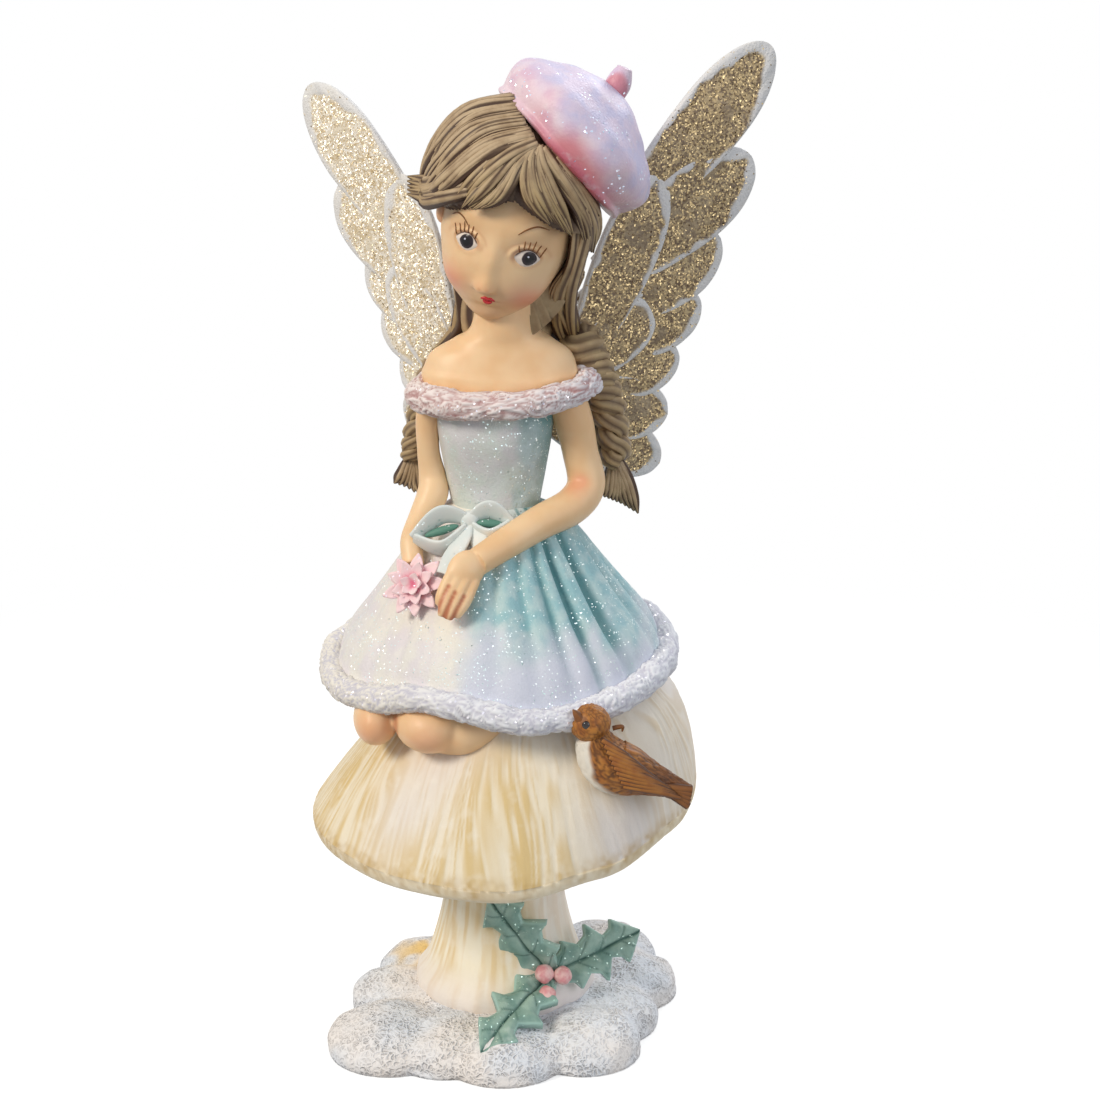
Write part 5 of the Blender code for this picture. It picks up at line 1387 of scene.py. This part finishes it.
def make_wing(side, paint):
    sign = 1 if side == "right" else -1
    sweep = WING_SWEEP[side]
    out = np.array([sign * math.cos(sweep), math.sin(sweep), 0.0])
    face = np.array([sign * math.sin(sweep), -math.cos(sweep), 0.0])
    land = WING_SEAT_DEPTH + GLUE_LINE
    root_x = sign * 4.83
    root = on_crown(root_x, land + 2.52, 0.0)
    parts = [ball(on_crown(root_x, land + 2.0, WING_ROOT_HEIGHT), (4.2, 1.95, 6.2))]
    parts[0].marks = {"edge": np.ones(len(parts[0].points))}
    for number, (base, tip, width, layer) in enumerate(wing_feathers(side), 1):
        lift = face * FEATHER_THICKNESS * (0.30 + 0.45 * layer - 0.10 * (number % 2) - 0.06 * (number % 5))
        start = root + out * base[0] + np.array([0, 0, base[1]]) + lift
        end = root + out * tip[0] + np.array([0, 0, tip[1]]) + lift
        parts.append(feather(start, end, face, width, FEATHER_THICKNESS, 0.8, number))
    piece(f"wing_{side}_feathers", join(parts), paint, node=f"wing_{side}")


# Flower and bow

def petal(base, tip, face, width, thickness, curl, marks_of):
    """A pointed petal that is widest past its middle, hollow along it, and curls off its face."""
    rows, sides = 18, 16
    length, along, across, up = blade_frame(base, tip, face)
    share = np.linspace(0, 1, rows)[:, None]
    half = 0.5 * width * np.sin(np.pi * (0.14 + 0.84 * share ** 1.15)) ** 0.8
    angle = ring_angles(sides)[None, :]
    dish = 0.22 * width * (np.cos(angle) ** 2) * np.sin(np.pi * share)
    rise = 0.5 * thickness * np.sin(angle) + dish + curl * share ** 2
    points = base + along * (length * share)[..., None] + across * (half * np.cos(angle))[...,
        None] + up * rise[..., None]
    return grid(points, {marks_of: (1 - share) * np.ones(sides)})


def make_flower():
    centre = on_crown(-17.0, -14.6, 19.4)
    face = np.array([-0.30, -0.85, 0.42])
    face = face / np.linalg.norm(face)
    side = np.cross([0, 0, 1], face)
    side /= np.linalg.norm(side)
    upward = np.cross(face, side)
    petals = [ball(centre - face * 0.9, (3.4, 3.4, 1.6), np.column_stack([side, upward, face]))]
    petals[0].marks = {"core": np.full(len(petals[0].points), 1.0)}
    for layer, (count, reach, lift, curl) in enumerate([(9, 1.0, 0.3, 0.7), (8, 0.72, 1.0, 1.4),
        (5, 0.34, 1.7, 1.3)]):
        for number in range(count):
            angle = 2 * math.pi * (number + 0.5 * layer + 0.3 * chance(number, layer + 60)) / count
            outward = side * math.cos(angle) + upward * math.sin(angle)
            start = centre + face * lift
            length = 6.5 * reach * (0.9 + 0.2 * chance(number, layer + 70))
            width = 3.0 * (0.55 + 0.45 * reach)
            petals.append(petal(start, start + outward * length, face, width, 0.9, curl, "core"))
    pink = Paint("flower_paint", roughness=0.5)
    colour = pink.mix(pink.step(pink.mark("core"), 0.30, 0.85), tint(248, 216, 220), tint(222, 112, 140))
    colour = pink.mix(pink.step(pink.lumps(2.0), 0.45, 0.7, 0.0, 0.55), colour, tint(250, 230, 226))
    colour = pink.glitter(colour, 0.30, 0.03, (tint(255, 240, 245), tint(245, 220, 235)), tilt=0.7)
    piece("flower", join(petals), pink.done(colour))


def ribbon(knots, widths, thickness, across):
    """A ribbon along a route, wide across one direction, with a rounded edge."""
    rows, sides = 36, 20
    line = spline(np.column_stack([knots, widths]), rows)
    width = line[:, 3][:, None]
    ahead, _, _ = frames_along(line[:, :3])
    wide = np.asarray(across, float) - ahead * (ahead @ np.asarray(across, float))[:, None]
    wide /= np.linalg.norm(wide, axis=1)[:, None]
    thin = np.cross(ahead, wide)
    angle = ring_angles(sides)[None, :]
    points = line[:, None, :3] + wide[:, None] * (0.5 * width * np.cos(angle))[..., None]
    depth = 0.5 * thickness * np.sign(np.sin(angle)) * np.abs(np.sin(angle)) ** 0.6
    points = points + thin[:, None] * (depth * np.ones((rows, 1)))[..., None]
    return grid(points, {"hollow": np.zeros((rows, sides))})


def make_bow():
    knot = on_crown(-6.4, -10.0, 31.4)
    loops = [ball(knot, (1.9, 1.4, 2.0))]
    loops[0].marks = {"hollow": np.zeros(len(loops[0].points))}
    for side, reach, drop in ((-1, 11.0, -3.6), (1, 8.0, -0.6)):
        tip = knot + np.array([side * reach, -0.4, drop])
        top = [knot, knot + (side * 0.5 * reach, -0.6, 0.35 * drop + 2.6), tip]
        low = [tip, knot + (side * 0.5 * reach, -2.4, 0.8 * drop - 2.0), knot + (side * 0.5, -0.8, -0.9)]
        loops.append(ribbon(top, [2.4, 4.4, 2.8], 1.0, (0.0, -0.30, 0.95)))
        loops.append(ribbon(low, [2.8, 4.0, 2.4], 1.0, (0.0, -0.45, 0.90)))
        # A dark teal pocket in each loop: painted shade inside the loop.
        middle = 0.5 * (knot + tip) + np.array([0.0, -0.9, 0.0])
        pocket = ball(middle, (0.32 * reach, 0.9, 0.85),
            turning((0, 1, 0), -side * math.atan2(drop, reach)))
        pocket.marks = {"hollow": np.ones(len(pocket.points))}
        loops.append(pocket)
    tails = [
        ([knot, knot + (-1.2, -2.4, -2.8), knot + (-3.4, -5.0, -6.0), knot + (-5.0, -7.0, -8.8)],
        [1.8, 3.4, 4.2, 3.2]),
        ([knot, knot + (1.4, -2.2, -2.6), knot + (3.0, -4.6, -5.0), knot + (3.8, -6.2, -7.2)],
        [1.8, 3.4, 4.0, 3.0]),
    ]
    for route, widths in tails:
        loops.append(ribbon(route, widths, 1.0, (0.9, -0.1, 0.4)))
    bow = Paint("ribbon_paint", roughness=0.5)
    colour = bow.mix(bow.lumps(3.0), tint(236, 234, 228), tint(210, 224, 224))
    # Dark teal on the pockets: painted shade inside the loops.
    colour = bow.mix(bow.mark("hollow"), colour, tint(92, 138, 122))
    colour = bow.glitter(colour, 0.30, 0.02, (tint(250, 252, 252), tint(220, 240, 240)), tilt=0.7)
    piece("bow", join(loops), bow.done(colour))


# Bird

BIRD_HEAD = (17.2, -30.4, -3.4)


BIRD_SPINE = [
    (17.6, -30.0, -6.0, 3.4), (19.0, -30.0, -9.5, 4.7), (21.2, -30.0, -12.2, 5.5),
    (25.0, -30.0, -13.7, 5.0),
    (29.5, -30.0, -15.4, 3.4), (33.0, -30.0, -16.8, 2.5), (36.2, -30.0, -18.6, 2.1),
]


def carved(points, size, stretch, seed):
    """Long fine cuts between raised tufts: how high the surface is, and how dark its grooves."""
    nearest, second, number = cells(points / size * stretch, seed)
    gap = second - nearest
    return smooth(gap, 0.0, 0.40) * (0.7 + 0.5 * number), (1 - smooth(gap, 0.05, 0.28)) * (0.5 + 0.5 * number)


def quill(start, middle, end, radii, up, dark):
    """One long feather of the bird, dark along both its edges."""
    shape = rod([start, middle, end], radii, 30, 12, flat=0.7, up=up)
    rise = shape.marks["up"]
    along = shape.marks["along"]
    shape.marks = {
        "groove": 1 - smooth(rise, 0.62, 0.98), "belly": 0 * rise,
        "dark": dark[0] + (dark[1] - dark[0]) * along,
    }
    return shape


def make_bird():
    rows, sides = 110, 84
    line = spline([on_crown(*p[:3]).tolist() + [p[3]] for p in BIRD_SPINE], rows)
    route, radius = line[:, :3], line[:, 3]
    ahead, _, _ = frames_along(route)
    depth = np.array([0.0, 1.0, 0.0])
    upward = np.cross(ahead, depth)
    upward /= np.linalg.norm(upward, axis=1)[:, None]
    upward *= np.sign(upward[:, 2:3])
    angle = ring_angles(sides)
    share = np.linspace(0, 1, rows)[:, None]
    flat = together(share * 22, 4.5 * np.cos(angle), 4.5 * np.sin(angle))
    height, groove = carved(flat, 0.62, np.array([0.30, 1.0, 1.0]), 81)
    reach = radius[:, None] + (0.24 * height - 0.16) * smooth(share, 0.0, 0.05)
    near = -np.sin(angle)[None, :]
    points = route[:, None] + depth * (-near * reach * (0.92 - 0.25 * smooth(share, 0.5, 0.8)))[..., None]
    points = points + upward[:, None] * (np.cos(angle)[None, :] * reach)[..., None]
    belly = smooth(-np.cos(angle)[None, :] - 1.5 * share + 0.10 * noise(flat, 1.5, 83), 0.05, 0.30)
    dark = np.clip(0.15 + smooth(share, 0.35, 0.9) + 0.2 * noise(flat, 3.0, 84), 0, 1)
    shape = grid(points, {"groove": groove * (1 - 0.85 * belly), "belly": belly, "dark": dark})
    head = ball(on_crown(*BIRD_HEAD), (3.9, 3.6, 3.7), segments=84, rings=48)
    height, groove = carved(head.points, 0.62, np.array([0.8, 1.0, 0.4]), 85)
    normal = head.points - on_crown(*BIRD_HEAD)
    normal /= np.linalg.norm(normal, axis=1)[:, None]
    head.points = head.points + normal * (0.14 * height)[:, None]
    head.marks = {"groove": 0.7 * groove, "belly": 0 * groove,
        "dark": 0.25 * smooth(head.points[:, 2], CROWN - 2.0, CROWN)}
    parts = [shape, head]
    for number in range(10):
        row = number / 9
        start = on_crown(19.4 + 4.2 * row, -34.3 - 0.9 * math.sin(math.pi * row), -5.4 - 9.6 * row)
        end = on_crown(30.4 + 4.4 * row - 3.5 * chance(number, 88) * (1 - row), -32.4, -13.8 - 4.4 * row)
        middle = 0.5 * (start + end) + (0.2, -0.7, 0.6)
        parts.append(quill(start, middle, end, [0.60, 0.80, 0.36], (0.15, -1.0, 0.1), (0.1, 0.7)))
    for number in range(5):
        spread = (number - 2) * 0.95
        start = on_crown(29.0, -31.9, -15.2 - 0.4 * spread)
        end = on_crown(36.8 + 0.2 * spread, -31.6, -18.6 + 0.95 * spread)
        parts.append(quill(start, 0.5 * (start + end), end, [0.8, 0.9, 0.75], (0.1, -1, 0.2), (0.6, 0.9)))
    beak = rod([on_crown(15.4, -32.2, -2.0), on_crown(14.4, -32.5, -0.6), on_crown(13.8, -32.6, 0.2)],
        [1.1, 0.7, 0.15], 20, 16)
    tuft = rod([on_crown(21.6, -30.6, -4.4), on_crown(23.4, -30.8, -4.0), on_crown(23.4, -30.8, -5.0)],
        [0.5, 0.4, 0.15], 20, 16)
    for extra in (beak, tuft):
        extra.marks = {"groove": 0.5 * (extra.marks["up"] < 0), "belly": 0 * extra.marks["up"],
            "dark": 0.8 + 0 * extra.marks["up"]}
    parts += [beak, tuft]
    bird = Paint("bird_paint", roughness=0.5, specular=0.35)
    colour = bird.mix(bird.step(bird.lumps(2.5, 3.0), 0.35, 0.7), tint(188, 126, 58), tint(164, 100, 44))
    colour = bird.mix(bird.mark("dark"), colour, tint(122, 76, 40))
    colour = bird.mix(bird.mark("groove"), colour, tint(74, 42, 22))
    colour = bird.mix(bird.mark("belly"), colour, tint(236, 230, 218))
    piece("bird", join(parts), bird.done(colour, bird.bump(bird.lumps(0.4, 3.0), 0.05)))
    gloss = Paint("bird_eye_paint", roughness=0.1, specular=0.6)
    black = gloss.mix(gloss.lumps(0.6), tint(18, 10, 14), tint(34, 18, 20))
    piece("bird_eye", ball(on_crown(16.4, -33.6, -2.6), (0.85, 0.6, 0.85)), gloss.done(black))


# Holly

def holly_outline(length, half_width, spikes):
    """Edge points of one side of a holly leaf: hollow curves between spikes, as (along, out) pairs."""
    edge = []
    for i in range(spikes):
        share = (i + 0.8) / (spikes + 0.7)
        body = half_width * math.sin(math.pi * (0.14 + 0.78 * share))
        edge.append((length * (share - 0.42 / spikes), 0.50 * body))
        edge.append((length * (share - 0.12 / spikes), 0.66 * body))
        edge.append((length * share, body))
    return [(0.0, 0.12 * half_width)] + edge + [(length, 0.0)]


def holly_leaf(base, tip, face, half_width, seed):
    """A leaf with a carved midrib and side veins, puffed between them."""
    length, along, across, up = blade_frame(base, tip, face)
    rows, half = 84, 25
    edge = np.array(holly_outline(length, half_width, 3))
    x = np.linspace(0, length * 0.995, rows)
    reach = np.interp(x, edge[:, 0], edge[:, 1])
    v = np.linspace(-1, 1, 2 * half + 1)
    xx = x[:, None] * np.ones(len(v))
    yy = reach[:, None] * v
    plane = np.stack([xx, yy, 0 * xx], -1)
    wander = noise(plane, 4.0, seed + 5)
    slant = (np.abs(yy) * 0.85 + length - xx + 0.5 * wander) / (length / 4.2) % 1.0
    side_veins = np.exp(-((0.5 - np.abs(slant - 0.5)) / 0.04) ** 2) * (np.abs(v) < 0.8)
    vein = np.maximum(np.exp(-((yy + 0.25 * wander) / 0.26) ** 2), 0.65 * side_veins)
    puff = 0.8 * np.sin(np.pi * np.abs(v)) * np.ones((rows, 1)) * np.minimum(1.0, reach[:, None] / 3.0)
    arch = 0.7 * np.sin(np.pi * xx / length) + 0.7 * noise(plane, 4.5, seed)
    top = puff - 0.40 * vein + arch + 0.5 + 0.12 * noise(plane, 1.1, seed + 9)
    low = arch - 1.1
    middle = base + along * xx[..., None] - across * yy[..., None]
    upper = middle + up * top[..., None]
    lower = middle + up * low[..., None]
    ring = np.concatenate([upper, lower[:, ::-1]], axis=1)
    margin = smooth(np.abs(v), 0.84, 0.99) * np.ones((rows, 1))
    marks = {
        "vein": np.concatenate([vein, np.zeros_like(vein)], axis=1),
        "margin": np.concatenate([margin, 0.4 * np.ones_like(margin)], axis=1),
    }
    return grid(ring, marks)


def make_holly():
    heart = np.array([9.6, -12.8, 14.2])
    leaves = [
        ((-3.2, -13.8, 32.4), (-0.25, -0.95, 0.15), 7.0), ((28.2, -4.0, 20.2), (0.45, -0.75, 0.45), 6.6),
        ((-4.6, -32.0, 6.2), (0.10, -0.45, 0.90), 6.6),
    ]
    parts = []
    for number, (tip, face, half_width) in enumerate(leaves):
        normal = np.array(face) / np.linalg.norm(face)
        start = heart + normal * 0.2
        parts.append(holly_leaf(start, np.array(tip), normal, half_width, number + 91))
    holly = Paint("holly_paint", roughness=0.5)
    colour = holly.mix(holly.step(holly.lumps(4.0, 4.0), 0.35, 0.68), tint(150, 178, 166),
        tint(116, 150, 140))
    colour = holly.mix(holly.step(holly.lumps(2.5, 4.0), 0.55, 0.75, 0.0, 0.7), colour, tint(176, 196, 186))
    colour = holly.mix(holly.mark("margin"), colour, tint(158, 192, 182))
    colour = holly.mix(holly.mark("vein"), colour, tint(70, 104, 96))
    base = holly.bump(holly.lumps(0.6, 3.0), 0.10)
    colour = holly.glitter(colour, 0.30, 0.02, (tint(225, 245, 235), tint(190, 230, 215)), tilt=0.9,
        under=base)
    piece("holly_leaves", join(parts), holly.done(colour))
    berries = []
    for offset in ((-1.4, -2.6, 1.4), (2.4, -2.0, 0.8), (-0.9, -5.5, -2.0)):
        middle = heart + np.array(offset)
        berry = ball(middle, (1.95, 1.95, 1.95))
        berry.points += 0.10 * noise(berry.points, 1.2, 97)[:, None] * (berry.points - middle)
        berries.append(berry)
    pink = Paint("berry_paint", roughness=0.4)
    colour = pink.mix(pink.step(pink.lumps(1.8, 3.0), 0.35, 0.65), tint(218, 148, 152), tint(236, 196, 192))
    piece("berries", join(berries), pink.done(colour, pink.bump(pink.lumps(0.4), 0.06)))


# Stage

FLOOR_HALF = 3.0
FLOOR_GREY = 0.55
FLOOR_GLOW = 0.62
SHADOW_REACH = (0.06, 0.30)


def white_to_the_camera(tree):
    """A strength of 1 for what the camera sees, itself or in mirrors and glass, and 0 for the rest."""
    path = add_node(tree, "LightPath")
    seen = path.outputs["Is Camera Ray"]
    for kind in ("Is Glossy Ray", "Is Transmission Ray"):
        seen = add_node(tree, "Math", {0: seen, 1: path.outputs[kind]}, operation="MAXIMUM").outputs[0]
    return seen


def make_stage():
    """A pale floor that keeps the shadow near the figurine and turns plain white further off."""
    mesh = bpy.data.meshes.new("floor")
    corners = [(FLOOR_HALF * x, FLOOR_HALF * y, 0) for x, y in ((-1, -1), (1, -1), (1, 1), (-1, 1))]
    mesh.from_pydata(corners, [], [(0, 1, 2, 3)])
    floor = bpy.data.objects.new("floor", mesh)
    bpy.context.scene.collection.objects.link(floor)
    paint = bpy.data.materials.new("floor_paint")
    paint.use_nodes = True
    tree = paint.node_tree
    tree.nodes.clear()
    matte = add_node(tree, "BsdfDiffuse", {"Color": (FLOOR_GREY, FLOOR_GREY, FLOOR_GREY, 1.0)})
    strength = add_node(tree, "Math", {0: white_to_the_camera(tree), 1: FLOOR_GLOW}, operation="MULTIPLY")
    glow = add_node(tree, "Emission", {"Strength": strength.outputs[0]})
    near = add_node(tree, "AddShader", {0: matte.outputs[0], 1: glow.outputs[0]})
    white = add_node(tree, "Emission", {"Strength": white_to_the_camera(tree)})
    place = add_node(tree, "TexCoord").outputs["Object"]
    away = add_node(tree, "VectorMath", {0: place}, operation="LENGTH").outputs["Value"]
    reach = {"Value": away, "From Min": SHADOW_REACH[0], "From Max": SHADOW_REACH[1]}
    share = add_node(tree, "MapRange", reach, interpolation_type="SMOOTHSTEP").outputs["Result"]
    both = add_node(tree, "MixShader", {0: share, 1: near.outputs[0], 2: white.outputs[0]})
    add_node(tree, "OutputMaterial", {"Surface": both.outputs[0]})
    mesh.materials.append(paint)


def add_lamp(name, place, size, energy, colour):
    data = bpy.data.lights.new(name, "AREA")
    data.shape = "DISK"
    data.size = size
    data.energy = energy
    data.color = colour
    lamp = bpy.data.objects.new(name, data)
    lamp.location = place
    lamp.rotation_euler = (Vector(CAMERA_TARGET * MM) - Vector(place)).to_track_quat("-Z", "Y").to_euler()
    bpy.context.scene.collection.objects.link(lamp)


def make_light():
    world = bpy.data.worlds.new("studio")
    bpy.context.scene.world = world
    world.use_nodes = True
    tree = world.node_tree
    light = tree.nodes["Background"]
    light.inputs["Color"].default_value = (0.93, 0.96, 1.0, 1.0)
    light.inputs["Strength"].default_value = 0.55
    white = add_node(tree, "Background", {"Color": (1.0, 1.0, 1.0, 1.0)})
    seen = white_to_the_camera(tree)
    either = add_node(tree, "MixShader", {0: seen, 1: light.outputs[0], 2: white.outputs[0]})
    feed(tree, tree.nodes["World Output"].inputs["Surface"], either.outputs[0])
    add_lamp("key", (-0.75, -0.55, 0.75), 0.35, 7.5, (1.0, 0.92, 0.80))
    add_lamp("fill", (0.9, -0.7, 0.5), 0.8, 3.0, (0.90, 0.95, 1.0))
    add_lamp("rim", (0.5, 0.8, 0.7), 0.5, 4.0, (1.0, 1.0, 1.0))


def make_camera():
    data = bpy.data.cameras.new("camera")
    data.lens = CAMERA_LENS
    data.sensor_width = SENSOR
    data.clip_start = 0.01
    camera = bpy.data.objects.new("camera", data)
    camera.location = Vector(CAMERA_PLACE * MM)
    camera.rotation_euler = (math.pi / 2 - CAMERA_ELEVATION, 0.0, 0.0)
    bpy.context.scene.collection.objects.link(camera)
    bpy.context.scene.camera = camera


make_camera()
make_light()
make_stage()
make_base()
make_cap()
make_stem()
make_skirt(dress_paint("dress_paint", tint(236, 231, 219), tint(150, 192, 199)))
make_bodice(dress_paint("bodice_paint", tint(220, 225, 214), tint(150, 180, 176)))
make_fur()
SKIN = skin_paint()
make_skin(SKIN)
make_face(SKIN)
make_eyes()
make_brows_and_lips()
make_hair()
make_beret()
# The left wing's paint is the paler, lit copy; the right wing's is browner and darker, partly its own brown and
# partly painted shade.
make_wing("left", wing_paint(
    "wing_left_paint", tint(236, 226, 206), tint(216, 198, 164), 0.42,
    (tint(255, 250, 240), tint(206, 182, 140)),
))
make_wing("right", wing_paint(
    "wing_right_brown_and_shade_paint", tint(168, 150, 126), tint(132, 114, 92), 0.30,
    (tint(226, 200, 150), tint(96, 74, 54)),
))
make_flower()
make_bow()
make_bird()
make_holly()

bpy.context.scene.view_settings.view_transform = "Standard"
